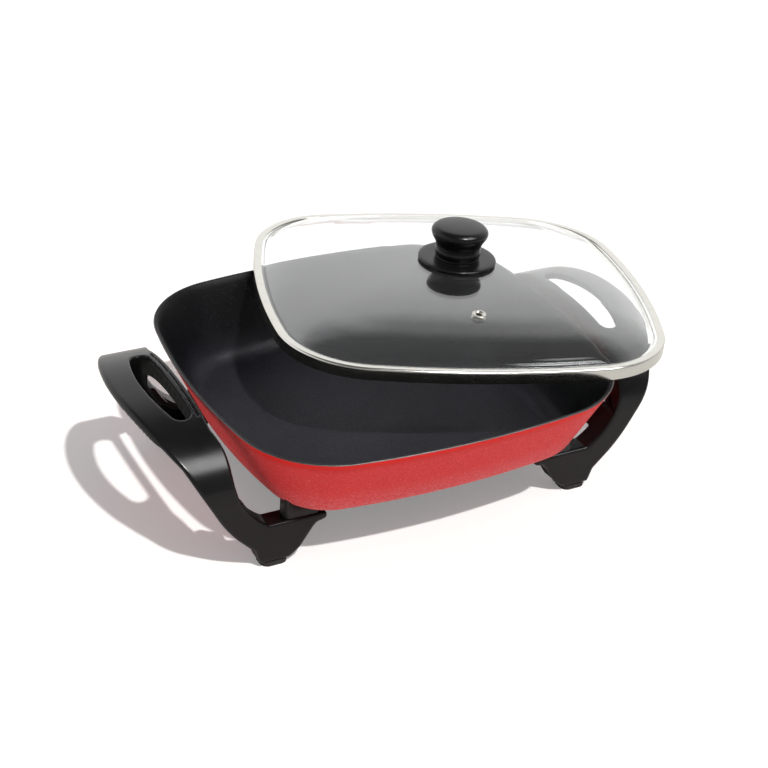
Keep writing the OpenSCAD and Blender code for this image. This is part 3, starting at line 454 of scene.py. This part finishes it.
block_corners = [(BLOCK_HALF, BLOCK_HALF), (BLOCK_HALF, -BLOCK_HALF)]
block_corners += [(-BLOCK_TOP, -BLOCK_HALF), (-BLOCK_TOP, BLOCK_HALF)]
block_ring = [
    (ax + (bx - ax) * i / 12, ay + (by - ay) * i / 12)
    for (ax, ay), (bx, by) in zip(block_corners, block_corners[1:] + block_corners[:1])
    for i in range(12)
]
block_place = lying(BLOCK_X, 0, HEATER_Z)
underside(bored_block("probe_block", block_ring, PROBE_HOLE_R, BLOCK_LENGTH, block_place))

boss_rise = [0.0040, 0.0080, BOSS_TOP]
boss_ring = arc_points(0, 0, BOSS_R, -90, 90, 18) + [(-up, BOSS_R) for up in boss_rise]
boss_ring += [(-BOSS_TOP, BOSS_R / 2), (-BOSS_TOP, -BOSS_R / 2)]
boss_ring += [(-up, -BOSS_R) for up in reversed(boss_rise)]
for row, y in (("front", -BOSS_Y), ("rear", BOSS_Y)):
    boss_place = lying(BOSS_X, y, HEATER_Z)
    boss = bored_block(f"inlet_boss_{row}", boss_ring, PILOT_R, BOSS_LENGTH, boss_place)
    cut_away(boss, pan_inside())
    underside(boss)


# Handles and legs: one black bakelite moulding at each end of the pan.
# Each is an open-backed shell with a grip on top, a finger slot through it and two
# legs that sweep in under the pan, and its edges come rounded out of the mould.
GRIP_HALF = 97.0
GRIP_CROWN = 6.2
SHOULDER_Z = -45.0
SHOULDER_POWER = 2.3
SHELL = 5.5
SLOT_END_X = 181.0
SLOT_END_Y = 39.21
SLOT_END_R = 7.5
SLOT_ARC_X = 66
SLOT_ARC_R = 129
SLOT_TURN = 18.83
GRIP_ARC_X = 32
GRIP_ARC_R = 185
BETWEEN_LEGS_HALF = 70
BETWEEN_LEGS_TOP = -10.8
BETWEEN_ARMS_HALF = 80
BETWEEN_ARMS_TOP = -62
HOLLOW_BACK = 167.5
HOLLOW_FLOOR = -26
STEP_BACK = [(166.5, -60), (166.5, 60), (157.5, 96), (157.5, -96)]
LINE_X = 170
LINE_WIDTH = 1.5
LINE_HALF = 46.7
LINE_DEEP = 2
LEG_ROW = 1000 * LEG_Y
SCREW_X = 1000 * LUG_X
SCREW_R = 2.25
HEAD_R = 5.2
HEAD_Z = -77
STEM_X = 129.25
STEM_R = 3.1
STEM_TOP = -94.9
LEG_EDGE_R = 2.2
GRIP_EDGE_R = 3.0
INNER_EDGE_R = 1.5
SHELL_EDGE_R = 1.0
SLOT_EDGE_R = 1.8
LINE_EDGE_R = 0.4
FLOOR_BELOW = -106.5
FAR = 300
MOULD_LOW = (86, -100, -106)
MOULD_HIGH = (221, 101, 10)
MOULD_STEP = 1.0


def arch_outline(half, crown, bottom, steps=160):
    """The arch seen from the end of the pan, as a closed outline in millimetres."""
    outline = [(half, bottom)]
    for i in range(steps + 1):
        turn = math.pi * i / steps
        across = math.copysign(abs(math.cos(turn)) ** (2 / SHOULDER_POWER), math.cos(turn))
        rise = math.sin(turn) ** (2 / SHOULDER_POWER) if 0 < i < steps else 0
        outline.append((half * across, SHOULDER_Z + (crown - SHOULDER_Z) * rise))
    return outline + [(-half, bottom)]


def from_outline(outline, u, v):
    """How far points lie outside a closed outline, and less than 0 inside it."""
    nearest = np.full(np.broadcast(u, v).shape, 1e12)
    inside = np.zeros(nearest.shape, bool)
    for (ax, ay), (bx, by) in zip(outline, outline[1:] + outline[:1]):
        ex, ey = bx - ax, by - ay
        if ex == 0 and ey == 0:
            continue
        along = np.clip(((u - ax) * ex + (v - ay) * ey) / (ex * ex + ey * ey), 0, 1)
        nearest = np.minimum(nearest, (u - ax - ex * along) ** 2 + (v - ay - ey * along) ** 2)
        if ey != 0:
            inside ^= ((ay > v) != (by > v)) & (u < ex * (v - ay) / ey + ax)
    return np.where(inside, -1, 1) * np.sqrt(nearest)


def rounded_meet(first, second, radius):
    """What two forms share, with the edge between them rounded to a radius."""
    over = np.hypot(np.maximum(radius + first, 0), np.maximum(radius + second, 0))
    return np.minimum(-radius, np.maximum(first, second)) + over


def leg_outline():
    """The leg and arm seen from the front."""
    outline = [(FAR, 20), (FAR, -8), (205, -8), (196, -17)]
    outline += arc_points(69.23, 1.82, 120, -29, -42, 16)
    outline += [(145, -92), (142, -101), (141, -103), (118.5, -103), (116.5, -102), (109.5, -96)]
    outline += [(99.8, -80.8), (97, -77.7), (90.5, -76.2), (89, -74.7), (89, -71.5), (92, -70)]
    return outline + arc_points(106, -22.51, 56, -58, 0, 40) + [(162, 20)]


def slot_outline():
    """The finger slot seen from above, with round ends and a bulging outer edge."""
    outline = [(SLOT_END_X - SLOT_END_R, -SLOT_END_Y)]
    outline += arc_points(SLOT_END_X, SLOT_END_Y, SLOT_END_R, 180, SLOT_TURN, 24)
    outline += arc_points(SLOT_ARC_X, 0, SLOT_ARC_R, SLOT_TURN, -SLOT_TURN, 60)
    return outline + arc_points(SLOT_END_X, -SLOT_END_Y, SLOT_END_R, -SLOT_TURN, -180, 24)


def handle_form(x, y, z):
    """How far points lie outside the right handle, in millimetres from the rim's middle."""
    arch = from_outline(arch_outline(GRIP_HALF, GRIP_CROWN, -FAR), y, z)
    form = rounded_meet(from_outline(leg_outline(), x, z), arch, LEG_EDGE_R)
    form = rounded_meet(form, np.hypot(x - GRIP_ARC_X, y) - GRIP_ARC_R, GRIP_EDGE_R)
    between = from_outline(arch_outline(BETWEEN_LEGS_HALF, BETWEEN_LEGS_TOP, -FAR - 1), y, z)
    arms = np.maximum(np.abs(y) - BETWEEN_ARMS_HALF, z - BETWEEN_ARMS_TOP)
    form = rounded_meet(form, -np.minimum(between, arms), INNER_EDGE_R)
    step_back = from_outline(STEP_BACK, x, y)
    form = rounded_meet(form, -np.maximum(step_back, SHOULDER_Z - z), INNER_EDGE_R)
    form = rounded_meet(form, -handle_hollow(x, y, z), SHELL_EDGE_R)
    slot = np.maximum(from_outline(slot_outline(), x, y), SHOULDER_Z - z)
    form = rounded_meet(form, -slot, SLOT_EDGE_R)
    lower = arch_outline(GRIP_HALF - LINE_DEEP, GRIP_CROWN - LINE_DEEP, -FAR - 1)
    line = np.maximum(np.abs(x - LINE_X) - LINE_WIDTH / 2, np.abs(y) - LINE_HALF)
    line = np.maximum(line, -from_outline(lower, y, z))
    form = rounded_meet(form, -line, LINE_EDGE_R)
    for row in (-LEG_ROW, LEG_ROW):
        screw = np.hypot(x - SCREW_X, y - row)
        head = np.maximum(screw - HEAD_R, z - HEAD_Z)
        stem = np.maximum(np.hypot(x - STEM_X, y - row) - STEM_R, z - STEM_TOP)
        hole = np.minimum(np.minimum(screw - SCREW_R, head), stem)
        form = np.maximum(form, -hole)
    return form


def handle_hollow(x, y, z):
    """The hollow behind the shell, open on the outboard side."""
    back = [(HOLLOW_BACK, -FAR), (FAR, -FAR), (FAR, FAR), (HOLLOW_BACK, FAR)]
    back += [(HOLLOW_BACK, 78), (172, 60), (172, -60), (HOLLOW_BACK, -78)]
    grip = np.maximum(from_outline(back, x, y), HOLLOW_FLOOR - z)
    leg = [(FAR, -22.51), (FAR, -89), (118.5, -89), (118.5, -75.5)]
    leg += arc_points(106, -22.51, 61.5, -59.5, 0, 30)
    both = np.minimum(grip, from_outline(leg, x, z))
    inner_arch = arch_outline(GRIP_HALF - SHELL, GRIP_CROWN - SHELL, FLOOR_BELOW)
    return rounded_meet(both, from_outline(inner_arch, y, z), INNER_EDGE_R)


def skin_of(form, low, step):
    """Vertices and four-sided faces over the surface where a sampled form is 0.

    Each cell that the surface crosses gets one vertex, at the mean of its crossings.
    """
    inside = form < 0
    count = np.array(form.shape) - 1
    mixed_cells = np.zeros(count, bool)
    corners = [(i, j, k) for i in (0, 1) for j in (0, 1) for k in (0, 1)]
    first = inside[: count[0], : count[1], : count[2]]
    for i, j, k in corners[1:]:
        mixed_cells |= inside[i : count[0] + i, j : count[1] + j, k : count[2] + k] != first
    cells = np.argwhere(mixed_cells)
    number = np.full(count, -1)
    number[tuple(cells.T)] = np.arange(len(cells))
    total = np.zeros(cells.shape)
    crossings = np.zeros(len(cells))
    for axis in range(3):
        for corner in (c for c in corners if c[axis] == 0):
            near = cells + corner
            beyond = near.copy()
            beyond[:, axis] += 1
            a, b = form[tuple(near.T)], form[tuple(beyond.T)]
            cut = (a < 0) != (b < 0)
            spot = np.tile(np.array(corner, float), (len(cells), 1))
            spot[:, axis] = a / np.where(cut, a - b, 1)
            total += spot * cut[:, None]
            crossings += cut
    verts = (cells + total / crossings[:, None]) * step + low
    faces = []
    for axis in range(3):
        across, up = (axis + 1) % 3, (axis + 2) % 3
        ahead = np.roll(inside, -1, axis)
        edges = np.argwhere(inside != ahead)
        edges = edges[(edges[:, axis] < count[axis]) & (edges[:, across] > 0) & (edges[:, up] > 0)]
        quads = []
        for back_across, back_up in ((1, 1), (0, 1), (0, 0), (1, 0)):
            cell = edges.copy()
            cell[:, across] -= back_across
            cell[:, up] -= back_up
            quads.append(number[tuple(cell.T)])
        quads = np.stack(quads, 1)
        outward = inside[tuple(edges.T)]
        faces.append(np.where(outward[:, None], quads, quads[:, ::-1]))
    return verts, np.concatenate(faces)


spans = [np.arange(low, high, MOULD_STEP) for low, high in zip(MOULD_LOW, MOULD_HIGH)]
mould = handle_form(*np.meshgrid(*spans, indexing="ij", sparse=True))
handle_verts, handle_faces = skin_of(mould, np.array(MOULD_LOW), MOULD_STEP)

bakelite = finish("bakelite", (0.006, 0.006, 0.0065), 0.25, Specular_IOR_Level=0.25)
moulded = mixed(bakelite, cloud(bakelite, 18), (0.0030, 0.0029, 0.0032), (0.0072, 0.0069, 0.0072))
rubbed = graded(bakelite, cloud(bakelite, 140, 4), 0.62, 0.75, 0, 0.12)
feed(bakelite, "Base Color", mixed(bakelite, rubbed, moulded, (0.024, 0.023, 0.023)))
uneven_gloss(bakelite, 55, 0.21, 0.27, 2)
relief(bakelite, cloud(bakelite, 420, 3), 0.00005, 0.5)

dull_bakelite = finish("dull_bakelite", (0.005, 0.005, 0.005), 0.6, Specular_IOR_Level=0.05)
mottled(dull_bakelite, 60, (0.0025, 0.0025, 0.0027), (0.0070, 0.0068, 0.0068))
uneven_gloss(dull_bakelite, 300, 0.55, 0.75)
relief(dull_bakelite, cloud(dull_bakelite, 500, 3), 0.0001, 0.5)

NEAR_HOLLOW = 0.9
NEAR_SLOT = 1.3
STEEP = 0.55
quads = handle_verts[handle_faces]
middles = quads.mean(axis=1).T
facing = np.cross(quads[:, 2] - quads[:, 0], quads[:, 3] - quads[:, 1])
upright = np.abs(facing[:, 2]) < STEEP * np.linalg.norm(facing, axis=1)
in_hollow = np.abs(handle_hollow(*middles)) < NEAR_HOLLOW
near_slot = np.abs(from_outline(slot_outline(), *middles[:2])) < NEAR_SLOT
in_slot = near_slot & (middles[2] > SHOULDER_Z) & upright
unpolished = (in_hollow | in_slot).astype(int)

for side, flip in (("left", -1), ("right", 1)):
    verts = handle_verts * np.array([flip * 0.001, 0.001, 0.001])
    faces = handle_faces[:, ::-1] if flip < 0 else handle_faces
    handle = new_piece(side + "_grip_and_legs", verts.tolist(), faces.tolist(), PAN_PLACE)
    handle.data.polygons.foreach_set("material_index", unpolished)
    handle.data.materials.append(bakelite)
    handle.data.materials.append(dull_bakelite)
    put_on(handle, "pan", "bakelite", side + "_handle")


# Foot pads: four grey-black rubber soles, each with a stem pressed up into its foot.
# They are moulded in one piece with a fine sandy grain.
def dress(node, material, edge=0.0):
    """Gives a node of the frame its finish, eases its edges and shades what is round on it."""
    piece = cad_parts[node]
    piece.data.materials.clear()
    piece.data.materials.append(material)
    crisp(piece)
    if edge:
        bevel = piece.modifiers.new("eased_edges", "BEVEL")
        bevel.width = edge
        bevel.segments = 2
        bevel.limit_method = "ANGLE"
        bevel.angle_limit = math.radians(40)
        bevel.harden_normals = True
    return piece


pad_rubber = finish("pad_rubber", (0.03, 0.03, 0.03), 0.7, Specular_IOR_Level=0.3)
mottled(pad_rubber, 200, (0.014, 0.014, 0.014), (0.040, 0.038, 0.036))
uneven_gloss(pad_rubber, 500, 0.6, 0.85)
relief(pad_rubber, cloud(pad_rubber, 1400), 0.0001)
for corner in ("front_left", "front_right", "rear_left", "rear_right"):
    dress("foot_pad_" + corner, pad_rubber, 0.0006)


# Handle screws and washers: four zinc-plated pan-head screws with a cross recess.
# They go up through the arms into the lugs, each over a plain steel washer.
zinc = finish("zinc", (0.6, 0.6, 0.62), 0.35, 1.0)
mottled(zinc, 260, (0.40, 0.40, 0.41), (0.66, 0.66, 0.68))
uneven_gloss(zinc, 900, 0.26, 0.48)
relief(zinc, cloud(zinc, 1600, 2), 0.00003, 0.5)
dress("handle_screws", zinc, 0.0002)
dress("handle_washers", zinc, 0.0001)


# Heater: a sheathed tube bent to one loop and pressed into the rib's groove.
# Its ends hold two plated pins in white ceramic bushes, and heat has dulled the sheath.
sheath = finish("sheath", (0.3, 0.3, 0.31), 0.5, 0.9)
heated = graded(sheath, cloud(sheath, 30), 0.35, 0.65, 0, 1)
feed(sheath, "Base Color", mixed(sheath, heated, (0.16, 0.15, 0.15), (0.33, 0.30, 0.27)))
uneven_gloss(sheath, 500, 0.42, 0.68)
relief(sheath, cloud(sheath, 1200), 0.00006, 0.6)
dress("heating_element", sheath)
dress("terminal_pins", zinc, 0.0003)

ceramic = finish("ceramic", (0.8, 0.77, 0.7), 0.6)
mottled(ceramic, 240, (0.66, 0.63, 0.57), (0.80, 0.78, 0.72))
uneven_gloss(ceramic, 700, 0.55, 0.8)
relief(ceramic, cloud(ceramic, 1800), 0.00008)
dress("heater_bushes", ceramic, 0.0003)


# Probe tube: a drawn steel tube, closed at its inner end and cast into the block.
# The thermostat's probe slides into it.
dress("probe_tube", sheath, 0.0002)


# Inlet guard: a bakelite shroud round the pins, open toward the plug.
# Two short screws hold its back plate to the bosses under the pan.
dress("inlet_guard", bakelite, 0.0005)
dress("guard_screws", zinc, 0.0002)


# Lid band: bright stainless strip rolled over the edge of the glass.
# Its top flange and inner lip hold the pane, and the bend between wall and flange is round.
STRIP_T = 0.0008
ROLL_R = 0.0017
ROLL_Z = 0.0083
BAND_OVER = 0.0005
LID_SHIFT = (0.0925, 0.052, -0.00284)
LID_TURNS = ((-1.85, "X"), (2.55, "Y"), (-18.4, "Z"))
LID = PAN_PLACE @ Matrix.Translation(LID_SHIFT)
for degrees, axis in LID_TURNS:
    LID = LID @ Matrix.Rotation(math.radians(degrees), 4, axis)
band_section = [(0, 0.0001), (0, 0.002), (0, 0.005), (0, ROLL_Z)]
band_section += arc_points(ROLL_R, ROLL_Z, ROLL_R, 180, 90, 7)[1:]
band_section += [(0.003, 0.01), (0.0045, 0.01), (0.0060, 0.00995), (0.0063, 0.0098)]
band_section += [(0.0064, 0.0095), (0.0063, 0.0092), (0.0050, 0.0092), (0.003, 0.0092)]
band_section += arc_points(ROLL_R, ROLL_Z, ROLL_R - STRIP_T, 90, 180, 5)
band_section += [(STRIP_T, 0.005), (0.0016, 0.005), (0.0049, 0.005), (0.005, 0.0046)]
band_section += [(0.0049, 0.0042), (0.0016, 0.0042), (STRIP_T, 0.0042), (STRIP_T, 0.0021)]
band_section += [(STRIP_T, 0.0001), (STRIP_T / 2, 0)]
band_rings = [outline_ring(across - BAND_OVER, z) for across, z in band_section]
band = loft("rolled_band", band_rings, LID, closed=True)
crisp(band, 50)

bright_steel = finish("bright_steel", (0.62, 0.61, 0.57), 0.15, 1.0)
rolled = cloud(bright_steel, 1.0, 4, (60, 60, 2600))
rolled_tone = mixed(bright_steel, rolled, (0.54, 0.53, 0.49), (0.70, 0.69, 0.64))
feed(bright_steel, "Base Color", rolled_tone)
feed(bright_steel, "Roughness", graded(bright_steel, rolled, 0.3, 0.7, 0.10, 0.24))
relief(bright_steel, rolled, 0.00001, 0.4)
band.data.materials.append(bright_steel)
put_on(band, "lid", "bright_steel", "lid_band")


# Lid glass: one pane of clear tempered glass, pressed to a shallow dome.
# It has a flat border under the band, a ground edge, and holes for the knob and the vent.
GLASS_Z = 0.0051
GLASS_T = 0.004
GLASS_BORDER = 0.0105
GLASS_EDGE = 0.0004
DOME = [(1.02, 0), (1, 1.6), (0.96, 5.451), (0.88, 10.59)]
DOME += [(0.74, 15.94), (0.55, 20.34), (0.35, 22.78), (0.15, 23.84)]
KNOB_HOLE_R = 0.004
VENT_HOLE_R = 0.00295


def dome_rise(share):
    """The pane's rise in metres, from 0 at the border to the crown, on one smooth curve."""
    if share <= DOME[-1][0]:
        return DOME[-1][1] / 1000
    slopes = [0]
    for (a, h), (b, i), (c, j) in zip(DOME, DOME[1:], DOME[2:]):
        slopes.append(((i - h) / (b - a) * (b - c) + (j - i) / (c - b) * (a - b)) / (a - c))
    slopes.append(0)
    k = next(k for k in range(len(DOME) - 1) if DOME[k + 1][0] <= share)
    (a, h), (b, i) = DOME[k], DOME[k + 1]
    t = (share - a) / (b - a)
    rise = h * (1 + 2 * t) * (1 - t) ** 2 + i * t * t * (3 - 2 * t)
    rise += (b - a) * (slopes[k] * t * (1 - t) ** 2 - slopes[k + 1] * t * t * (1 - t))
    return rise / 1000


shares = [1.02 - 0.0025 * k for k in range(12)] + [0.99 - 0.005 * k for k in range(8)]
shares += [0.95 - 0.01 * k for k in range(90)] + [0.03, 0.005]
glass_top = GLASS_Z + GLASS_T
glass_rings = [outline_ring(GLASS_BORDER, GLASS_Z + dome_rise(s), s) for s in reversed(shares)]
glass_rings += [outline_ring(0.006, GLASS_Z), outline_ring(0.0008, GLASS_Z)]
glass_rings += [outline_ring(GLASS_EDGE, GLASS_Z + rise) for rise in (0.0004, 0.003)]
glass_rings += [outline_ring(0.0014, glass_top), outline_ring(0.006, glass_top)]
glass_rings += [outline_ring(GLASS_BORDER, glass_top + dome_rise(s), s) for s in shares]
pane = loft("domed_pane", glass_rings, LID)

VENT_SHIFT = (0, -0.089, 0.0272)
VENT_TILT = 9.5
VENT = LID @ Matrix.Translation(VENT_SHIFT) @ Matrix.Rotation(math.radians(VENT_TILT), 4, "X")


def circle(radius, steps):
    """Points round a circle, seen along its axis."""
    turns = [2 * math.pi * i / steps for i in range(steps)]
    return [(radius * math.cos(t), radius * math.sin(t)) for t in turns]


def drill(piece, radius, place, steps=64):
    """Cuts a round hole through a piece along the height of a place."""
    rings = [[(x, y, z) for x, y in circle(radius, steps)] for z in (-0.04, 0.045)]
    cut_away(piece, loft("drill", rings, place))


drill(pane, KNOB_HOLE_R, LID)
drill(pane, VENT_HOLE_R, VENT)
crisp(pane, 45)

polish = {"IOR": 1.5, "Transmission_Weight": 0.985, "Coat_Weight": 0.7, "Coat_Roughness": 0.0}
clear_glass = finish("clear_glass", (0.91, 0.935, 0.925), 0.0, **polish)
wiped = cloud(clear_glass, 14, 4)
feed(clear_glass, "Roughness", graded(clear_glass, wiped, 0.40, 0.80, 0.0, 0.04))
pane.data.materials.append(clear_glass)
put_on(pane, "lid", "clear_glass", "lid_glass")


# Steam vent: a stainless eyelet rolled over in its hole in the pane.
# A washer under the glass takes the rolled end.
def turned(name, profile, place, steps=96):
    """A piece turned about its own height, from a closed profile of (radius, height) in mm."""
    rings = [[(x, y, h / 1000) for x, y in circle(r / 1000, steps)] for r, h in profile]
    piece = loft(name, rings, place, closed=True)
    loose = bmesh.new()
    loose.from_mesh(piece.data)
    bmesh.ops.dissolve_degenerate(loose, dist=1e-6, edges=loose.edges)
    bmesh.ops.recalc_face_normals(loose, faces=loose.faces)
    loose.to_mesh(piece.data)
    loose.free()
    return piece


eyelet_profile = [(2.25, -5.9), (2.85, -5.9), (2.85, 0.35), (4.9, 0.35), (5.3, 0.5)]
eyelet_profile += [(5.5, 0.85), (5.4, 1.2), (5.1, 1.4), (4.5, 1.5), (3.8, 1.5)]
eyelet_profile += [(3.2, 1.35), (2.7, 1.1), (2.4, 0.8), (2.25, 0.4)]
eyelet = turned("rolled_eyelet", eyelet_profile, VENT)
crisp(eyelet, 50)
eyelet.data.materials.append(bright_steel)
put_on(eyelet, "lid", "bright_steel", "vent_eyelet")
dress("vent_washer", bright_steel, 0.0001)


# Knob: a bakelite disc that spreads the load on the glass, and the head and neck above it.
# Both are compression mouldings with soft edges, and a steel screw from under the glass
# pulls them down by the brass insert in the neck.
DISC_LOW = 34.04
DISC_TOP = 36.24
KNOB_LOW = 36.44
KNOB_TOP = 62.94


def soft_line(points, steps=6):
    """A line through points without corners, as points closer together."""
    line = []
    for i in range(len(points) - 1):
        p = [np.array(points[min(max(k, 0), len(points) - 1)], float) for k in range(i - 1, i + 3)]
        for t in np.arange(steps) / steps:
            a = 2 * p[1] + (p[2] - p[0]) * t + (2 * p[0] - 5 * p[1] + 4 * p[2] - p[3]) * t * t
            line.append(tuple(0.5 * (a + (3 * p[1] - p[0] - 3 * p[2] + p[3]) * t**3)))
    return line + [tuple(map(float, points[-1]))]


disc_profile = [(2.75, DISC_LOW), (15, DISC_LOW), (27.3, DISC_LOW)]
disc_profile += [(28.0, DISC_LOW - 0.5), (28.5, DISC_LOW - 0.7)]
disc_rim = [(30.2, DISC_LOW - 0.7), (31.1, DISC_LOW - 0.3), (31.5, DISC_LOW + 0.5)]
disc_rim += [(31.3, DISC_TOP - 0.9), (30.4, DISC_TOP - 0.3), (28.5, DISC_TOP)]
disc_profile += soft_line(disc_rim, 4)
disc_profile += [(24, DISC_TOP), (18, DISC_TOP), (10, DISC_TOP), (2.75, DISC_TOP)]
disc = turned("knob_plate", disc_profile, LID)
crisp(disc, 50)
disc.data.materials.append(bakelite)
put_on(disc, "lid", "bakelite", "knob_disc")

neck = [(17.7, 0.4), (17.5, 1.3), (18.2, 3), (18.65, 5.3), (18.4, 8)]
crown = [(18.5, 15.5), (19.3, 13), (20.9, 10.4), (22.2, 7.9), (22.85, 5.5), (22.5, 3.5)]
crown += [(21.3, 2), (19.1, 0.7), (14.9, 0.05), (8, -0.4), (0, -0.55)]
head_side = [(r, KNOB_LOW + up) for r, up in neck] + [(r, KNOB_TOP - down) for r, down in crown]
head_profile = [(4.6, KNOB_LOW), (11, KNOB_LOW), (17.2, KNOB_LOW)]
head_profile += [(max(r, 0), z) for r, z in soft_line(head_side)]
head_profile += [(0, KNOB_LOW + 12.1), (4.6, KNOB_LOW + 12.1)]
head = turned("knob_head_and_neck", head_profile, LID)
crisp(head, 50)
head.data.materials.append(bakelite)
put_on(head, "lid", "bakelite", "knob_head")

brass = finish("brass", (0.7, 0.5, 0.2), 0.3, 1.0)
mottled(brass, 300, (0.58, 0.42, 0.17), (0.76, 0.58, 0.28))
uneven_gloss(brass, 900, 0.22, 0.42)
dress("knob_insert", brass, 0.0001)
dress("knob_screw", zinc, 0.0002)
dress("knob_washer", zinc, 0.0001)

silicone = finish("silicone", (0.2, 0.2, 0.2), 0.6, Specular_IOR_Level=0.35)
mottled(silicone, 300, (0.13, 0.13, 0.13), (0.22, 0.22, 0.215))
uneven_gloss(silicone, 800, 0.5, 0.75)
relief(silicone, cloud(silicone, 1500), 0.00004)
dress("knob_gasket_top", silicone, 0.0002)
dress("knob_gasket_bottom", silicone, 0.0002)


# Floor: a plain pale sheet of studio paper under the whole object.
# It looks white to the camera and through the glass, and keeps the object's shadow.
FLOOR_HALF = 6
signs = ((-1, -1), (1, -1), (1, 1), (-1, 1))
floor_corners = [(sx * FLOOR_HALF, sy * FLOOR_HALF, 0) for sx, sy in signs]
floor_mesh = bpy.data.meshes.new("floor")
floor_mesh.from_pydata(floor_corners, [], [(0, 1, 2, 3)])
floor = bpy.data.objects.new("floor", floor_mesh)
bpy.context.scene.collection.objects.link(floor)
paper = finish("paper", (0.88, 0.87, 0.86), 0.85, Specular_IOR_Level=0.1)
sheet = mixed(paper, cloud(paper, 7, 2), (0.872, 0.862, 0.850), (0.888, 0.878, 0.866))


def in_view(material):
    """1 for what the camera sees directly or through the glass, and 0 for all other light."""
    path = add(material, "LightPath")
    either = {0: path.outputs["Is Camera Ray"], 1: path.outputs["Is Transmission Ray"]}
    return add(material, "Math", either, operation="MAXIMUM").outputs[0]


shown = in_view(paper)
feed(paper, "Base Color", mixed(paper, shown, sheet, (0.96, 0.95, 0.94)))
feed(paper, "Emission Strength", graded(paper, shown, 0, 1, 0, 0.22))
paper.node_tree.nodes["Principled BSDF"].inputs["Emission Color"].default_value = (1, 1, 1, 1)
floor.data.materials.append(paper)


# Light: an even white surround and one lamp, high in front and a little to the right.
# What shines on the object sees a bright wall behind it, a dim room in front
# and overhead, and a soft box beside the lamp.
FILL = 0.32
WHITE = 1.0
BOX_WAY = (0.36, -0.43, 0.829)
LAMP_WAY = (0.075, -0.495, 0.866)
world = bpy.data.worlds.new("studio")
bpy.context.scene.world = world
world.use_nodes = True
surround = world.node_tree.nodes["Background"]
surround.inputs["Color"].default_value = (1, 1, 1, 1)
way = add(world, "TexCoord").outputs["Generated"]
parts = add(world, "SeparateXYZ", {"Vector": way})
wall = graded(world, parts.outputs["Z"], 0.62, 0.82, 1.25, 0.20)
behind = graded(world, parts.outputs["Y"], -0.5, 0.45, 0.28, 1)
room = add(world, "Math", {0: wall, 1: behind}, operation="MULTIPLY").outputs[0]
toward_box = add(world, "VectorMath", {0: way, 1: BOX_WAY}, operation="DOT_PRODUCT")
box = graded(world, toward_box.outputs["Value"], 0.970, 0.988, 0, 14)
room = add(world, "Math", {0: room, 1: box}, operation="ADD").outputs[0]
strength = add(world, "Mix", {0: in_view(world), 2: FILL, 3: WHITE}).outputs[0]
mirrored = add(world, "LightPath").outputs["Is Glossy Ray"]
strength = add(world, "Mix", {0: mirrored, 2: strength, 3: room}).outputs[0]
world.node_tree.links.new(strength, surround.inputs["Strength"])
lamp_data = bpy.data.lights.new("lamp", "SUN")
lamp_data.angle = math.radians(2)
lamp_data.energy = 2.45
lamp_data.color = (1.0, 0.985, 0.96)
lamp = bpy.data.objects.new("lamp", lamp_data)
lamp.rotation_euler = Vector(LAMP_WAY).to_track_quat("Z", "Y").to_euler()
bpy.context.scene.collection.objects.link(lamp)


# Camera: a long lens at the front left, above the object.
# It looks down about 31 degrees and is rolled a little, as in the object's picture.
CAMERA_PLACE = (-0.59671, -1.04891, 0.76839)
CAMERA_TURNS = ((-29.66, "Z"), (90 - 30.92, "X"), (4.19, "Z"))
camera_data = bpy.data.cameras.new("camera")
camera_data.sensor_fit = "HORIZONTAL"
camera_data.sensor_width = 36
camera_data.lens = 81.74
camera = bpy.data.objects.new("camera", camera_data)
camera_matrix = Matrix.Translation(CAMERA_PLACE)
for degrees, axis in CAMERA_TURNS:
    camera_matrix = camera_matrix @ Matrix.Rotation(math.radians(degrees), 4, axis)
camera.matrix_world = camera_matrix
bpy.context.scene.collection.objects.link(camera)
bpy.context.scene.camera = camera
bpy.context.scene.view_settings.view_transform = "Standard"
